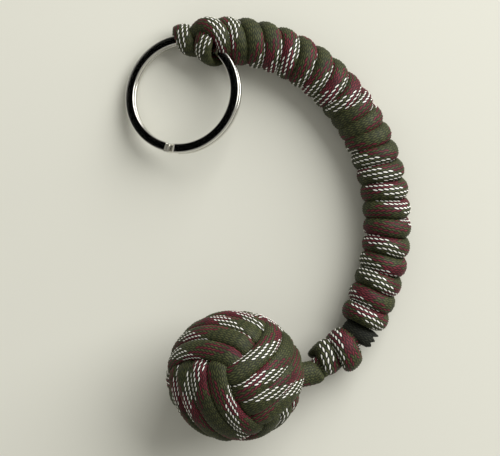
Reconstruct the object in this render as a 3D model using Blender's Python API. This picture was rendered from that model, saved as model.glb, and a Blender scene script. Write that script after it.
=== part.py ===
"""A monkey fist keychain in paracord, lying on a table.

From one end to the other: a two-coil split ring, a cord loop round its wire, a curved handle
of one cord wound round a core strand, a stopper knot, and a monkey fist knot round a ball.
All sizes are millimetres until they reach a mesh, +Z is up and the table is z = 0.
"""

import math

import bmesh
import bpy
import numpy as np

METRES = 0.001
UP = np.array([0.0, 0.0, 1.0])

# Clearances
TOUCH_GAP = 0.38  # between two pieces that touch on the real object
STRAND_GAP = 0.45  # between neighbouring passes of one wound cord
FLAT_DEPTH = 0.4  # how deep the cords are cut flat where they lie on the table

# The fist: three bands of cord round a ball, each over one neighbour and under the other
BALL_DIAMETER = 21.2
BALL_RINGS = 12
FIST_PASSES = 4  # turns of cord in each band
FIST_PITCH = 3.86  # between neighbouring passes
FIST_CORD_WIDTH = 3.4
FIST_CORD_THICKNESS = 2.7
FIST_TURNED = (27.1, -39.9, 11.8)  # degrees about X, then Y, then Z, from square to the axes
FIST_CLIMB = (31.0, 41.0)  # degrees out from the covering band's middle: where a pass climbs
FIST_QUARTER = 6  # points on a quarter of a turn
FIST_HIDDEN = 2  # of these, how many lie under the covering band after the middle one
FIST_SHIFT = 5.4  # points over which a turn moves to the next place, under the covering band

# The handle: a cord wound on a core strand that follows this route, ring end first
HANDLE_ROUTE = [
    (-13.3, 46.5),
    (-5.6, 46.2),
    (3.0, 44.0),
    (11.1, 39.5),
    (17.9, 33.3),
    (23.9, 24.6),
    (28.3, 13.2),
    (29.8, 1.0),
    (28.5, -10.0),
    (24.4, -21.6),
]
CORE_DIAMETER = 4.4
CORE_START = 2.8  # where on the route the core strand comes out of the ring loop
CORE_SIDES = 8
WRAP_START = -1.6  # where on the route the first turn of the wound cord would cross its outer edge
WRAP_SKIPPED = 0.52  # share of that turn which the ring loop takes up
WRAP_TURNS = 21  # whole turns of the wound cord
WRAP_SECTIONS = 5  # lengths of handle between its bending places
WRAP_CORD_WIDTH = 3.3
WRAP_CORD_THICKNESS = 3.1
WRAP_POINTS = 16  # points on each turn
FIRST_SLANT = 3.4  # how much further the first turn runs along the handle on top than underneath
LAST_SLANT = 0.1  # the same on the last turn
SECTION_GAP = 0.7  # cut in the wound cord where two lengths of handle bend

# The wound cord's singed end, which lies across the core strand where that leaves the handle
TAIL_LENGTH = 8.6
TAIL_WIDTH = 2.6
TAIL_THICKNESS = 2.2
TAIL_TEETH = 4  # burnt points on its end

# The split ring
RING_DIAMETER = 30.0
RING_WIRE_WIDTH = 2.3
RING_COIL_HEIGHT = 1.25
RING_COIL_GAP = 0.15
RING_EDGE = 0.2
RING_TILT = 20.0  # degrees from flat, its right side up
RING_UPHILL = -25.5  # compass of its high side, degrees from +X towards +Y
RING_STEP_AT = 281.0  # where the coil changes level, degrees from the high side
RING_STEP_LENGTH = 9.0  # degrees
RING_END_GAP = 2.0  # degrees between a cut end and the step
RING_STEPS = 48  # facets in a turn

# The cord loop round the ring's wire
LOOP_AT = 103.5  # degrees from the ring's high side
LOOP_AHEAD = 4.5  # from the start of the handle's route to the middle of the loop
LOOP_TURNS = 2
LOOP_PITCH = 5.2
LOOP_CORD_WIDTH = 3.4
LOOP_CORD_THICKNESS = 2.7
LOOP_POINTS = 20

# The stopper knot and the cord that runs through it
KNOT_JOINT_AHEAD = 4.2  # from the end of the handle's route to the first bending place
KNOT_HEADING = -138.0  # degrees from +X towards +Y
KNOT_RISE = 10.0  # degrees
KNOT_AHEAD = 6.6  # from the bending place to the middle of the knot
KNOT_TURNS = 2
KNOT_PITCH = 4.2
KNOT_SLANT = 1.6
KNOT_CORD_WIDTH = 3.4
KNOT_CORD_THICKNESS = 3.15
KNOT_POINTS = 20
NECK_DIAMETER = 4.0
NECK_REACH = 5.6  # from the knot to the second bending place
NECK_RISE = 3.0  # how much higher that place is
NECK_HEADING = -137.0
LEAD_LENGTH = 2.9  # from the second bending place to the fist

SEAM = 1e-6  # a length below anything that is built


def unit(vector):
    """The vector at length one."""
    vector = np.asarray(vector, float)
    return vector / np.linalg.norm(vector)


def heading(degrees, rise=0.0):
    """The unit vector at this compass angle and this rise."""
    turn, lift = math.radians(degrees), math.radians(rise)
    return np.array([math.cos(lift) * math.cos(turn), math.cos(lift) * math.sin(turn), math.sin(lift)])


def ease(share):
    """0 to 1 with no kink at either end."""
    share = np.clip(share, 0.0, 1.0)
    return share * share * (3.0 - 2.0 * share)


def turned_axes(degrees):
    """Three axes turned about X, then Y, then Z, as the rows of an array."""
    rows = np.eye(3)
    for axis, angle in enumerate(np.radians(degrees)):
        step = np.eye(3)
        one, two = (axis + 1) % 3, (axis + 2) % 3
        step[one, one] = step[two, two] = math.cos(angle)
        step[one, two], step[two, one] = -math.sin(angle), math.sin(angle)
        rows = rows @ step.T
    return rows


class Route:
    """A smooth flat curve through chosen points, read by its length."""

    def __init__(self, points, height):
        points = [np.array([x, y, height]) for x, y in points]
        padded = [2 * points[0] - points[1], *points, 2 * points[-1] - points[-2]]
        spots = []
        for i in range(1, len(padded) - 2):
            before, here, there, after = padded[i - 1 : i + 3]
            for t in np.linspace(0.0, 1.0, 40, endpoint=False):
                bend = 2 * before - 5 * here + 4 * there - after
                twist = 3 * here - before - 3 * there + after
                spots.append(0.5 * (2 * here + (there - before) * t + bend * t**2 + twist * t**3))
        spots.append(points[-1])
        self.spots = np.array(spots)
        steps = np.linalg.norm(np.diff(self.spots, axis=0), axis=1)
        self.reach = np.concatenate([[0.0], np.cumsum(steps)])
        self.length = self.reach[-1]

    def at(self, s):
        """The point at length s. Past either end the route runs on straight."""
        inside = min(max(s, 0.0), self.length)
        spot = np.array([np.interp(inside, self.reach, self.spots[:, k]) for k in range(3)])
        return spot + (s - inside) * self.ahead(inside)

    def ahead(self, s):
        """The direction of the route at length s."""
        low = min(max(s - 0.5, 0.0), self.length - 1.0)
        ends = [[np.interp(q, self.reach, self.spots[:, k]) for k in range(3)] for q in (low, low + 1.0)]
        return unit(np.subtract(ends[1], ends[0]))

    def outer(self, s):
        """The sideways direction that points out of the handle's bend."""
        return np.cross(UP, self.ahead(s))


class Cord:
    """A cord's centreline, the way its flat side faces at each point, and its section.

    The first and last points only give the direction of its ends.
    """

    def __init__(self, centres, facings, width, thickness):
        ahead = unit_rows(np.gradient(np.array(centres, float), axis=0))[1:-1]
        self.centres = np.array(centres, float)[1:-1]
        facings = np.array(facings, float)[1:-1]
        facings -= (facings * ahead).sum(1)[:, None] * ahead
        self.facings = unit_rows(facings)
        self.sides = np.cross(ahead, self.facings)
        self.width = width
        self.thickness = thickness

    def corners(self):
        """The six corners of the section at each point: flat above and below, pointed at the sides."""
        half_width, half_height = self.width / 2, self.thickness / 2
        shape = [(1, 0), (0.55, 1), (-0.55, 1), (-1, 0), (-0.55, -1), (0.55, -1)]
        return np.stack(
            [self.centres + x * half_width * self.sides + y * half_height * self.facings for x, y in shape],
            axis=1,
        )


def guarded(first, last, count):
    """Even steps from first to last, with one more beyond each end."""
    step = (last - first) / count
    return [first + step * k for k in range(-1, count + 2)]


def unit_rows(rows):
    """Each row at length one."""
    return rows / np.linalg.norm(rows, axis=1)[:, None]


def dense(corners):
    """The points of a cord's surface: its corners, and spots between them along and round it."""
    along = np.concatenate([corners, (corners[1:] + corners[:-1]) / 2])
    order = np.argsort(np.concatenate([np.arange(len(corners)), np.arange(len(corners) - 1) + 0.5]))
    along = along[order]
    return np.concatenate([along, (along + np.roll(along, 1, axis=1)) / 2], axis=1)


def gap_to_itself(cord):
    """The least gap between turns that lie beside or across each other, measured on points."""
    rows = dense(cord.corners())
    steps = np.linalg.norm(np.diff(rows.mean(1), axis=0), axis=1)
    reach = np.concatenate([[0.0], np.cumsum(steps)])
    least = math.inf
    for i, row in enumerate(rows):
        far = reach > reach[i] + 2.2 * cord.width
        if far.any():
            others = rows[far].reshape(-1, 3)
            apart = np.linalg.norm(others[:, None] - row[None], axis=2)
            least = min(least, float(apart.min()))
    return least


def gap_between(one, two):
    """The least gap between two cords, measured on points."""
    points, others = dense(one.corners()).reshape(-1, 3), dense(two.corners()).reshape(-1, 3)
    return min(float(np.linalg.norm(others - point, axis=1).min()) for point in points)


def paint(name, colour, roughness, metallic=0.0):
    """A plain material."""
    material = bpy.data.materials.new(name)
    material.use_nodes = True
    shader = material.node_tree.nodes["Principled BSDF"]
    shader.inputs["Base Color"].default_value = (*colour, 1.0)
    shader.inputs["Roughness"].default_value = roughness
    shader.inputs["Metallic"].default_value = metallic
    return material


def keep(name, mesh, material, smooth=40.0):
    """Turns a bmesh in millimetres into a named object."""
    bmesh.ops.scale(mesh, vec=(METRES,) * 3, verts=mesh.verts)
    bmesh.ops.recalc_face_normals(mesh, faces=mesh.faces)
    data = bpy.data.meshes.new(name)
    mesh.to_mesh(data)
    mesh.free()
    data.shade_smooth()
    data.set_sharp_from_angle(angle=math.radians(smooth))
    data.materials.append(material)
    thing = bpy.data.objects.new(name, data)
    bpy.context.scene.collection.objects.link(thing)
    return thing


def skin(rows):
    """A closed tube through rows of corners, with flat ends."""
    mesh = bmesh.new()
    rings = [[mesh.verts.new(spot) for spot in row] for row in rows]
    for near, far in zip(rings, rings[1:]):
        for k in range(len(near)):
            after = (k + 1) % len(near)
            mesh.faces.new((near[k], near[after], far[after], far[k]))
    mesh.faces.new(rings[0][::-1])
    mesh.faces.new(rings[-1])
    return mesh


def cut_at_table(mesh):
    """Cuts off what would lie below the table and closes the flats."""
    if min(vert.co.z for vert in mesh.verts) > -SEAM:
        return
    cut = bmesh.ops.bisect_plane(
        mesh,
        geom=[*mesh.verts, *mesh.edges, *mesh.faces],
        dist=SEAM,
        plane_co=(0, 0, 0),
        plane_no=(0, 0, -1),
        clear_outer=True,
    )
    edges = [item for item in cut["geom_cut"] if isinstance(item, bmesh.types.BMEdge)]
    bmesh.ops.holes_fill(mesh, edges=edges, sides=0)


def cord_object(name, cord, material):
    """A wound or straight cord as a closed six-sided tube, cut flat on the table."""
    mesh = skin(cord.corners())
    cut_at_table(mesh)
    return keep(name, mesh, material)


def round_tube(name, centres, radii, material, sides=CORE_SIDES):
    """A round tube whose radius may change along it."""
    centres = np.array(centres, float)
    ahead = unit_rows(np.gradient(centres, axis=0))
    across = unit_rows(np.cross(ahead, UP))
    above = np.cross(across, ahead)
    angles = np.arange(sides) * 2 * math.pi / sides
    ring = np.cos(angles)[:, None, None] * across + np.sin(angles)[:, None, None] * above
    rows = centres[:, None] + np.array(radii)[:, None, None] * ring.transpose(1, 0, 2)
    mesh = skin(rows)
    cut_at_table(mesh)
    return keep(name, mesh, material)


def rounded_end(radius, steps=4):
    """Setbacks and radii that end a tube in half a ball, outermost last."""
    angles = np.linspace(0.0, math.pi / 2, steps + 1)[1:-1]
    return [(radius * math.sin(angle), radius * math.cos(angle)) for angle in angles]


# Places that follow from the sizes
WRAP_RADIUS = CORE_DIAMETER / 2 + TOUCH_GAP + WRAP_CORD_THICKNESS / 2
HANDLE_RADIUS = WRAP_RADIUS + WRAP_CORD_THICKNESS / 2
HANDLE_HEIGHT = HANDLE_RADIUS - FLAT_DEPTH
HANDLE = Route(HANDLE_ROUTE, HANDLE_HEIGHT)
WRAP_PITCH = (HANDLE.length - WRAP_START) / WRAP_TURNS

FIST_UNDER = BALL_DIAMETER / 2 + TOUCH_GAP + FIST_CORD_THICKNESS / 2
FIST_OVER = FIST_UNDER + FIST_CORD_THICKNESS + STRAND_GAP
FIST_RADIUS = FIST_OVER + FIST_CORD_THICKNESS / 2
FIST_AXES = turned_axes(FIST_TURNED)
FIST_EXIT = unit(FIST_AXES[0] - FIST_AXES[1] - FIST_AXES[2])

KNOT_JOINT = HANDLE.at(HANDLE.length + KNOT_JOINT_AHEAD)
KNOT_AXIS = heading(KNOT_HEADING, KNOT_RISE)
KNOT_CENTRE = KNOT_JOINT + KNOT_AHEAD * KNOT_AXIS
KNOT_WRAP_RADIUS = NECK_DIAMETER / 2 + TOUCH_GAP + KNOT_CORD_THICKNESS / 2
KNOT_HALF = (KNOT_TURNS * KNOT_PITCH) / 2
KNOT_END = KNOT_CENTRE + KNOT_HALF * KNOT_AXIS
NECK_JOINT = KNOT_END + NECK_REACH * heading(NECK_HEADING) + NECK_RISE * UP
LEAD_END = NECK_JOINT + LEAD_LENGTH * FIST_EXIT * np.array([-1.0, -1.0, 0.0])
FIST_CENTRE = LEAD_END - FIST_RADIUS * FIST_EXIT
FIST_CENTRE[2] = FIST_RADIUS - FLAT_DEPTH
LEAD_END[2] = FIST_CENTRE[2] + FIST_RADIUS * FIST_EXIT[2]

RING_RADIUS = (RING_DIAMETER - RING_WIRE_WIDTH) / 2
RING_HEIGHT = 2 * RING_COIL_HEIGHT + RING_COIL_GAP
RING_HIGH = heading(RING_UPHILL, RING_TILT)
RING_LEVEL = heading(RING_UPHILL + 90.0)
RING_NORMAL = np.cross(RING_HIGH, RING_LEVEL)
LOOP_CENTRE = HANDLE.at(-LOOP_AHEAD)


def ring_arm(degrees):
    """The unit vector from the ring's middle to this place on it."""
    turn = math.radians(degrees)
    return math.cos(turn) * RING_HIGH + math.sin(turn) * RING_LEVEL


RING_CENTRE = LOOP_CENTRE - RING_RADIUS * ring_arm(LOOP_AT)
RING_CENTRE[2] = RING_DIAMETER / 2 * math.sin(math.radians(RING_TILT)) + RING_HEIGHT / 2 * math.cos(
    math.radians(RING_TILT)
)


def fist_band(index):
    """One band of the fist, as one unbroken cord.

    It goes over the ball's faces on one axis and under another band on the next. Each turn moves
    over by a pitch where it is hidden, on one of the two under crossings.
    """
    over, plane, under = FIST_AXES[index], FIST_AXES[(index + 1) % 3], FIST_AXES[(index + 2) % 3]
    tuck, risen = (math.sin(math.radians(angle)) for angle in FIST_CLIMB)
    turn = 4 * FIST_QUARTER
    centres, facings = [], []
    for point in range(FIST_HIDDEN - 1, turn * FIST_PASSES - FIST_HIDDEN + 2):
        nearest = round(point / turn)
        share = ease((point - turn * nearest) / FIST_SHIFT + 0.5)
        offset = (nearest - 1 + share - (FIST_PASSES - 1) / 2) * FIST_PITCH
        half, within = divmod(point, 2 * FIST_QUARTER)
        out = min(within, 2 * FIST_QUARTER - within)
        radius = FIST_UNDER if out <= FIST_HIDDEN else FIST_OVER
        flat = math.sqrt(radius**2 - offset**2)
        if out <= FIST_HIDDEN:
            angle = math.asin(tuck * out / FIST_HIDDEN * radius / flat)
        else:
            first = math.asin(risen * radius / flat)
            angle = first + (math.pi / 2 - first) * (out - FIST_HIDDEN - 1) / (FIST_QUARTER - FIST_HIDDEN - 1)
        angle = math.pi * half + (angle if within <= FIST_QUARTER else math.pi - angle)
        spot = flat * (math.cos(angle) * under - math.sin(angle) * over) + offset * plane
        centres.append(FIST_CENTRE + spot)
        facings.append(unit(spot))
    return Cord(centres, facings, FIST_CORD_WIDTH, FIST_CORD_THICKNESS)


def core_ball(material):
    """The steel ball that the fist is tied round."""
    mesh = bmesh.new()
    bmesh.ops.create_uvsphere(mesh, u_segments=2 * BALL_RINGS, v_segments=BALL_RINGS, radius=BALL_DIAMETER / 2)
    bmesh.ops.translate(mesh, vec=FIST_CENTRE, verts=mesh.verts)
    return keep("core_ball", mesh, material)


def wrap_reach(turns):
    """How far along the handle the wound cord is after this many turns from its outer edge."""
    slant = FIRST_SLANT + (LAST_SLANT - FIRST_SLANT) * turns / WRAP_TURNS
    return WRAP_START + WRAP_PITCH * turns + slant * (1 - math.cos(2 * math.pi * turns)) / 2


def wrap_point(turns):
    """The wound cord's centre and its outward direction after this many turns."""
    s, angle = wrap_reach(turns), 2 * math.pi * turns
    outward = math.cos(angle) * HANDLE.outer(s) + math.sin(angle) * UP
    return HANDLE.at(s) + WRAP_RADIUS * outward, outward


def section_turns(index):
    """The turn numbers at which a length of handle starts and ends: under the handle."""
    share = WRAP_TURNS / WRAP_SECTIONS
    first = round(index * share) - 0.25 if index else WRAP_SKIPPED
    last = round((index + 1) * share) - 0.25 if index < WRAP_SECTIONS - 1 else WRAP_TURNS
    return first, last


def handle_wrap(index):
    """One length of the wound cord, unbroken."""
    first, last = section_turns(index)
    trim = SECTION_GAP / 2 / (2 * math.pi * WRAP_RADIUS)
    first += trim if index else 0.0
    last -= trim if index < WRAP_SECTIONS - 1 else 0.0
    count = round((last - first) * WRAP_POINTS)
    spots = [wrap_point(turns) for turns in guarded(first, last, count)]
    centres, facings = zip(*spots)
    return Cord(centres, facings, WRAP_CORD_WIDTH, WRAP_CORD_THICKNESS)


def bend_place(index):
    """How far along the handle it bends after this length."""
    return wrap_reach(section_turns(index)[1])


def handle_core(index, material):
    """One length of the core strand, with a rounded end where the next length bends on it."""
    radius = CORE_DIAMETER / 2
    last_one = index == WRAP_SECTIONS - 1
    start = bend_place(index - 1) + radius + TOUCH_GAP if index else CORE_START
    end = HANDLE.length + KNOT_JOINT_AHEAD if last_one else bend_place(index)
    count = max(3, math.ceil((end - start) / CORE_DIAMETER))
    stations = [(s, radius) for s in np.linspace(start, end, count)]
    stations += [(end + ahead, narrow) for ahead, narrow in rounded_end(radius)]
    centres = [HANDLE.at(s) for s, _ in stations]
    return round_tube(f"core_strand_{index + 1}", centres, [r for _, r in stations], material)


def wrap_tail(material):
    """The wound cord's singed end: a short flat stub with burnt points."""
    end = HANDLE.length
    ahead, outer = HANDLE.ahead(end), HANDLE.outer(end)
    along = WRAP_CORD_WIDTH / 2 + TOUCH_GAP + TAIL_WIDTH / 2
    height = CORE_DIAMETER / 2 + TOUCH_GAP + TAIL_THICKNESS / 2
    middle = HANDLE.at(end) + along * ahead + height * UP
    mesh = bmesh.new()
    half_length, half_width, half_height = TAIL_LENGTH / 2, TAIL_WIDTH / 2, TAIL_THICKNESS / 2
    edge = [(-half_length, -half_width), (-half_length, half_width)]
    for tooth in range(2 * TAIL_TEETH + 1):
        across = half_width - tooth * TAIL_WIDTH / (2 * TAIL_TEETH)
        edge.append((half_length - (0.9 if tooth % 2 else 0.0) - 0.2 * tooth, across))
    verts = [mesh.verts.new(middle + x * outer + y * ahead - half_height * UP) for x, y in edge]
    base = mesh.faces.new(verts)
    lifted = bmesh.ops.extrude_face_region(mesh, geom=[base])["geom"]
    top = [item for item in lifted if isinstance(item, bmesh.types.BMVert)]
    bmesh.ops.translate(mesh, vec=TAIL_THICKNESS * UP, verts=top)
    return keep("wrap_tail", mesh, material)


def split_ring(material):
    """Two coils of flat wire in one piece, with the step between them and both cut ends."""
    half_width, half_height = RING_WIRE_WIDTH / 2, RING_COIL_HEIGHT / 2
    edge = RING_EDGE
    shape = [
        (half_width, -half_height + edge),
        (half_width, half_height - edge),
        (half_width - edge, half_height),
        (-half_width + edge, half_height),
        (-half_width, half_height - edge),
        (-half_width, -half_height + edge),
        (-half_width + edge, -half_height),
        (half_width - edge, -half_height),
    ]
    low_start = RING_STEP_AT + RING_STEP_LENGTH + RING_END_GAP - 360.0
    high_end = RING_STEP_AT - RING_END_GAP + 360.0
    step_end = RING_STEP_AT + RING_STEP_LENGTH
    low = np.linspace(low_start, RING_STEP_AT, RING_STEPS)
    step = np.linspace(RING_STEP_AT, step_end, 4)[1:-1]
    high = np.linspace(step_end, high_end, RING_STEPS)
    lift = (RING_COIL_HEIGHT + RING_COIL_GAP) / 2
    rows = []
    for angle in np.concatenate([low, step, high]):
        level = lift * (2 * np.clip((angle - RING_STEP_AT) / RING_STEP_LENGTH, 0, 1) - 1)
        arm = ring_arm(angle)
        rows.append([RING_CENTRE + (RING_RADIUS + x) * arm + (level + y) * RING_NORMAL for x, y in shape])
    return keep("split_ring", skin(rows), material, smooth=30.0)


def ring_loop():
    """The cord's turns round the ring's wire, following the wire's own curve."""
    room = math.hypot(RING_WIRE_WIDTH, RING_HEIGHT) / 2
    radius = room + TOUCH_GAP + LOOP_CORD_THICKNESS / 2
    pitch = math.degrees(LOOP_PITCH / RING_RADIUS)
    centres, facings = [], []
    for turns in guarded(-0.25, LOOP_TURNS - 0.25, LOOP_TURNS * LOOP_POINTS):
        arm = ring_arm(LOOP_AT + pitch * (LOOP_TURNS / 2 - 0.25 - turns))
        angle = 2 * math.pi * turns
        outward = math.cos(angle) * arm + math.sin(angle) * RING_NORMAL
        centres.append(RING_CENTRE + RING_RADIUS * arm + radius * outward)
        facings.append(outward)
    return Cord(centres, facings, LOOP_CORD_WIDTH, LOOP_CORD_THICKNESS)


def stopper_knot():
    """The knot's turns round the cord that runs through it."""
    across = unit(np.cross(KNOT_AXIS, UP))
    above = np.cross(across, KNOT_AXIS)
    centres, facings = [], []
    for turns in guarded(-0.25, KNOT_TURNS - 0.25, KNOT_TURNS * KNOT_POINTS):
        angle = 2 * math.pi * turns
        outward = -math.cos(angle) * across + math.sin(angle) * above
        along = KNOT_PITCH * (turns + 0.25 - KNOT_TURNS / 2) - KNOT_SLANT * math.cos(angle) / 2
        centres.append(KNOT_CENTRE + along * KNOT_AXIS + KNOT_WRAP_RADIUS * outward)
        facings.append(outward)
    return Cord(centres, facings, KNOT_CORD_WIDTH, KNOT_CORD_THICKNESS)


def neck_cord(material):
    """The cord through the knot, from the handle's end to the bending place before the fist."""
    radius = NECK_DIAMETER / 2
    start = KNOT_JOINT + (CORE_DIAMETER / 2 + TOUCH_GAP) * KNOT_AXIS
    straight = [start, (start + KNOT_END) / 2, KNOT_END]
    middle = KNOT_END + 0.5 * (NECK_JOINT - KNOT_END) + 0.35 * NECK_RISE * (KNOT_AXIS - UP)
    centres = straight + [middle, NECK_JOINT]
    ahead = unit(NECK_JOINT - middle)
    ends = rounded_end(radius)
    centres += [NECK_JOINT + step * ahead for step, _ in ends]
    radii = [radius] * 5 + [narrow for _, narrow in ends]
    return round_tube("neck_cord", centres, radii, material)


def fist_lead(material):
    """The bit of cord between the second bending place and the fist."""
    ahead = unit(LEAD_END - NECK_JOINT)
    start = NECK_JOINT + (NECK_DIAMETER / 2 + TOUCH_GAP) * ahead
    centres = [start, (start + LEAD_END) / 2, LEAD_END]
    return round_tube("fist_lead", centres, [NECK_DIAMETER / 2] * 3, material)


def build():
    """Makes every piece."""
    for thing in list(bpy.data.objects):
        bpy.data.objects.remove(thing, do_unlink=True)
    olive = paint("paracord olive", (0.09, 0.10, 0.055), 0.85)
    maroon = paint("paracord maroon", (0.19, 0.035, 0.05), 0.85)
    moss = paint("paracord moss", (0.06, 0.08, 0.05), 0.85)
    singed = paint("singed paracord", (0.03, 0.032, 0.026), 0.6)
    steel = paint("polished steel", (0.62, 0.62, 0.6), 0.18, 1.0)

    core_ball(steel)
    bands = [fist_band(index) for index in range(3)]
    names = ("fist_first_turns", "fist_second_turns", "fist_third_turns")
    for name, band, colour in zip(names, bands, (olive, maroon, moss)):
        cord_object(name, band, colour)
        print(f"{name}: least gap to itself {gap_to_itself(band):.2f} mm")
    for one, two in ((0, 1), (1, 2), (2, 0)):
        print(f"{names[one]} to {names[two]}: least gap {gap_between(bands[one], bands[two]):.2f} mm")

    for index in range(WRAP_SECTIONS):
        wrap = handle_wrap(index)
        cord_object(f"handle_wrap_{index + 1}", wrap, (olive, moss)[index % 2])
        print(f"handle_wrap_{index + 1}: least gap to itself {gap_to_itself(wrap):.2f} mm")
        handle_core(index, maroon)
    wrap_tail(singed)

    loop = ring_loop()
    cord_object("ring_loop", loop, olive)
    print(f"ring_loop: least gap to itself {gap_to_itself(loop):.2f} mm")
    split_ring(steel)

    knot = stopper_knot()
    cord_object("stopper_knot", knot, maroon)
    print(f"stopper_knot: least gap to itself {gap_to_itself(knot):.2f} mm")
    neck_cord(olive)
    fist_lead(olive)

    places = {"knot joint": KNOT_JOINT, "neck joint": NECK_JOINT, "fist centre": FIST_CENTRE}
    places |= {"ring centre": RING_CENTRE, "ring normal": RING_NORMAL, "loop centre": LOOP_CENTRE}
    places |= {f"bend {index + 1}": HANDLE.at(bend_place(index)) for index in range(WRAP_SECTIONS - 1)}
    for name, place in places.items():
        print(name, np.round(place, 3))


build()
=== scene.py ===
# %% [markdown]
# # A monkey fist keychain in braided cord
# The real object is one length of paracord, tied from a ball-shaped knot through a stopper knot and
# a long wound handle to a loop round a split ring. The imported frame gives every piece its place.
# This script gives each its surface: a sheath braided from coloured yarns, and a plated ring.

import math

import bmesh
import bpy
import numpy as np
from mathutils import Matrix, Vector


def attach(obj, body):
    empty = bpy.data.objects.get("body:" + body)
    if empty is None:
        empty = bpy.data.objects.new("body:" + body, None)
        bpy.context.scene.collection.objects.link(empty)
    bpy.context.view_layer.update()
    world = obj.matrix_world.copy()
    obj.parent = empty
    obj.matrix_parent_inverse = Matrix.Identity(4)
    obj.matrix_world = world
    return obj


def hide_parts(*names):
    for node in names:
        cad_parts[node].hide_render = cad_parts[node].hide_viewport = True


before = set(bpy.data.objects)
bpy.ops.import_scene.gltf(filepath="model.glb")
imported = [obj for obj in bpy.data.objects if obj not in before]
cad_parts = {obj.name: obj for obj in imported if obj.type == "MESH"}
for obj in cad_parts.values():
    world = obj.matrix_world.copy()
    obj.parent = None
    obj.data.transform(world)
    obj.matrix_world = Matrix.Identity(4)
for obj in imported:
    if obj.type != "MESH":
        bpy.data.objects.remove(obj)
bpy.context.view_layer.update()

# %% [markdown]
# Sizes are easiest to read in millimetres, and Blender's unit is the metre. So the keychain's sizes
# are in millimetres here, and turn into metres only when a mesh is made. Arrays of points hold one
# row each, because one line of arithmetic then moves a whole cord.

# %% Small helpers for sizes and rows
MM = 0.001
UP = np.array([0.0, 0.0, 1.0])
PHOTO_SIZE = (500, 456)


def rows_of_length_one(rows):
    """Each row at length one."""
    return rows / np.linalg.norm(rows, axis=1)[:, None]


def distance_along(points):
    """How far along a line of points each of them is."""
    return np.concatenate([[0.0], np.cumsum(np.linalg.norm(np.diff(points, axis=0), axis=1))])


def heading(degrees, rise=0.0):
    """The unit vector at this compass angle from +X and this rise."""
    turn, lift = math.radians(degrees), math.radians(rise)
    return np.array([math.cos(lift) * math.cos(turn), math.cos(lift) * math.sin(turn), math.sin(lift)])


def ease(share):
    """0 to 1 with no kink at either end."""
    share = np.clip(share, 0.0, 1.0)
    return share * share * (3.0 - 2.0 * share)


print(f"photograph {PHOTO_SIZE[0]} x {PHOTO_SIZE[1]} pixels")

# %% [markdown]
# The camera comes first, because it decides what shows. The photograph looks straight down from
# about 40 cm, so the camera hangs over the middle of the picture with a long lens. The same numbers
# say where any point falls in the photograph, which is used below to put the white yarns in place.

# %% Camera
CAMERA_PLACE = (-4.25, -0.05, 400.0)
PIXELS_PER_MM = 3.97  # on the table
SENSOR_WIDTH = 36.0


def put_in_scene(name, data):
    """A new object with this data, linked to the scene."""
    thing = bpy.data.objects.new(name, data)
    bpy.context.scene.collection.objects.link(thing)
    return thing


def in_photo(points):
    """Where points in millimetres fall in the photograph, in its pixels."""
    scale = PIXELS_PER_MM * CAMERA_PLACE[2] / (CAMERA_PLACE[2] - points[:, 2])
    across = PHOTO_SIZE[0] / 2 + scale * (points[:, 0] - CAMERA_PLACE[0])
    down = PHOTO_SIZE[1] / 2 - scale * (points[:, 1] - CAMERA_PLACE[1])
    return np.stack([across, down], axis=1)


camera_data = bpy.data.cameras.new("camera")
camera_data.sensor_width = SENSOR_WIDTH
camera_data.lens = PIXELS_PER_MM * CAMERA_PLACE[2] * SENSOR_WIDTH / PHOTO_SIZE[0]
camera = put_in_scene("camera", camera_data)
camera.location = [place * MM for place in CAMERA_PLACE]
bpy.context.scene.camera = camera
print(f"lens {camera_data.lens:.1f} mm")

# %% [markdown]
# Node trees are long when each node takes five lines. One helper adds a node, sets its properties
# and fills its inputs, either with a value or with a link from another node. Colours are written
# as they look on a screen, and one function turns them into the linear values that light uses.

# %% Helpers for node trees and colours


def add(tree, kind, inputs=None, **settings):
    """Adds a node. Inputs are given by name or number, each a value, a socket or a node."""
    node = tree.nodes.new(kind)
    for name, value in settings.items():
        setattr(node, name, value)
    for key, value in (inputs or {}).items():
        if isinstance(key, int):
            socket = node.inputs[key]
        else:
            socket = next(item for item in node.inputs if item.name == key and item.enabled)
        if isinstance(value, bpy.types.Node):
            value = next(item for item in value.outputs if item.enabled)
        if isinstance(value, bpy.types.NodeSocket):
            tree.links.new(value, socket)
        else:
            socket.default_value = value
    return node


def colour(code):
    """A screen colour such as '#4a4f33' as linear red, green, blue and alpha."""
    parts = [int(code[i : i + 2], 16) / 255 for i in (1, 3, 5)]
    linear = [part / 12.92 if part <= 0.04045 else ((part + 0.055) / 1.055) ** 2.4 for part in parts]
    return (*linear, 1.0)


print(f"a screen grey of 50% is {colour('#808080')[0]:.2f} in linear light")

# %% [markdown]
# Paracord's sheath is nylon: bundles of fine filaments, each bundle a yarn about half a millimetre
# wide. Filaments catch the light along the yarn, so the finish gets streaks that run along it, a
# slight sheen, and no sharp gloss. The braid below stores each point's place on its own yarn as an
# attribute, which lets the streaks follow every yarn round every knot. Filaments are 0.03 mm, too
# fine to show, so the streaks are drawn as coarse as 0.12 mm.

# %% Nylon yarn finish
FILAMENT = 0.12
STREAK_LENGTH = 1.0
STREAK_DEPTH = 0.08
PATCHES = 260.0  # to a metre: the dye is a little uneven about every 4 mm
TONES = (0.75, 1.25)  # streaks and patches add up to these where the yarn is darkest and lightest


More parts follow.
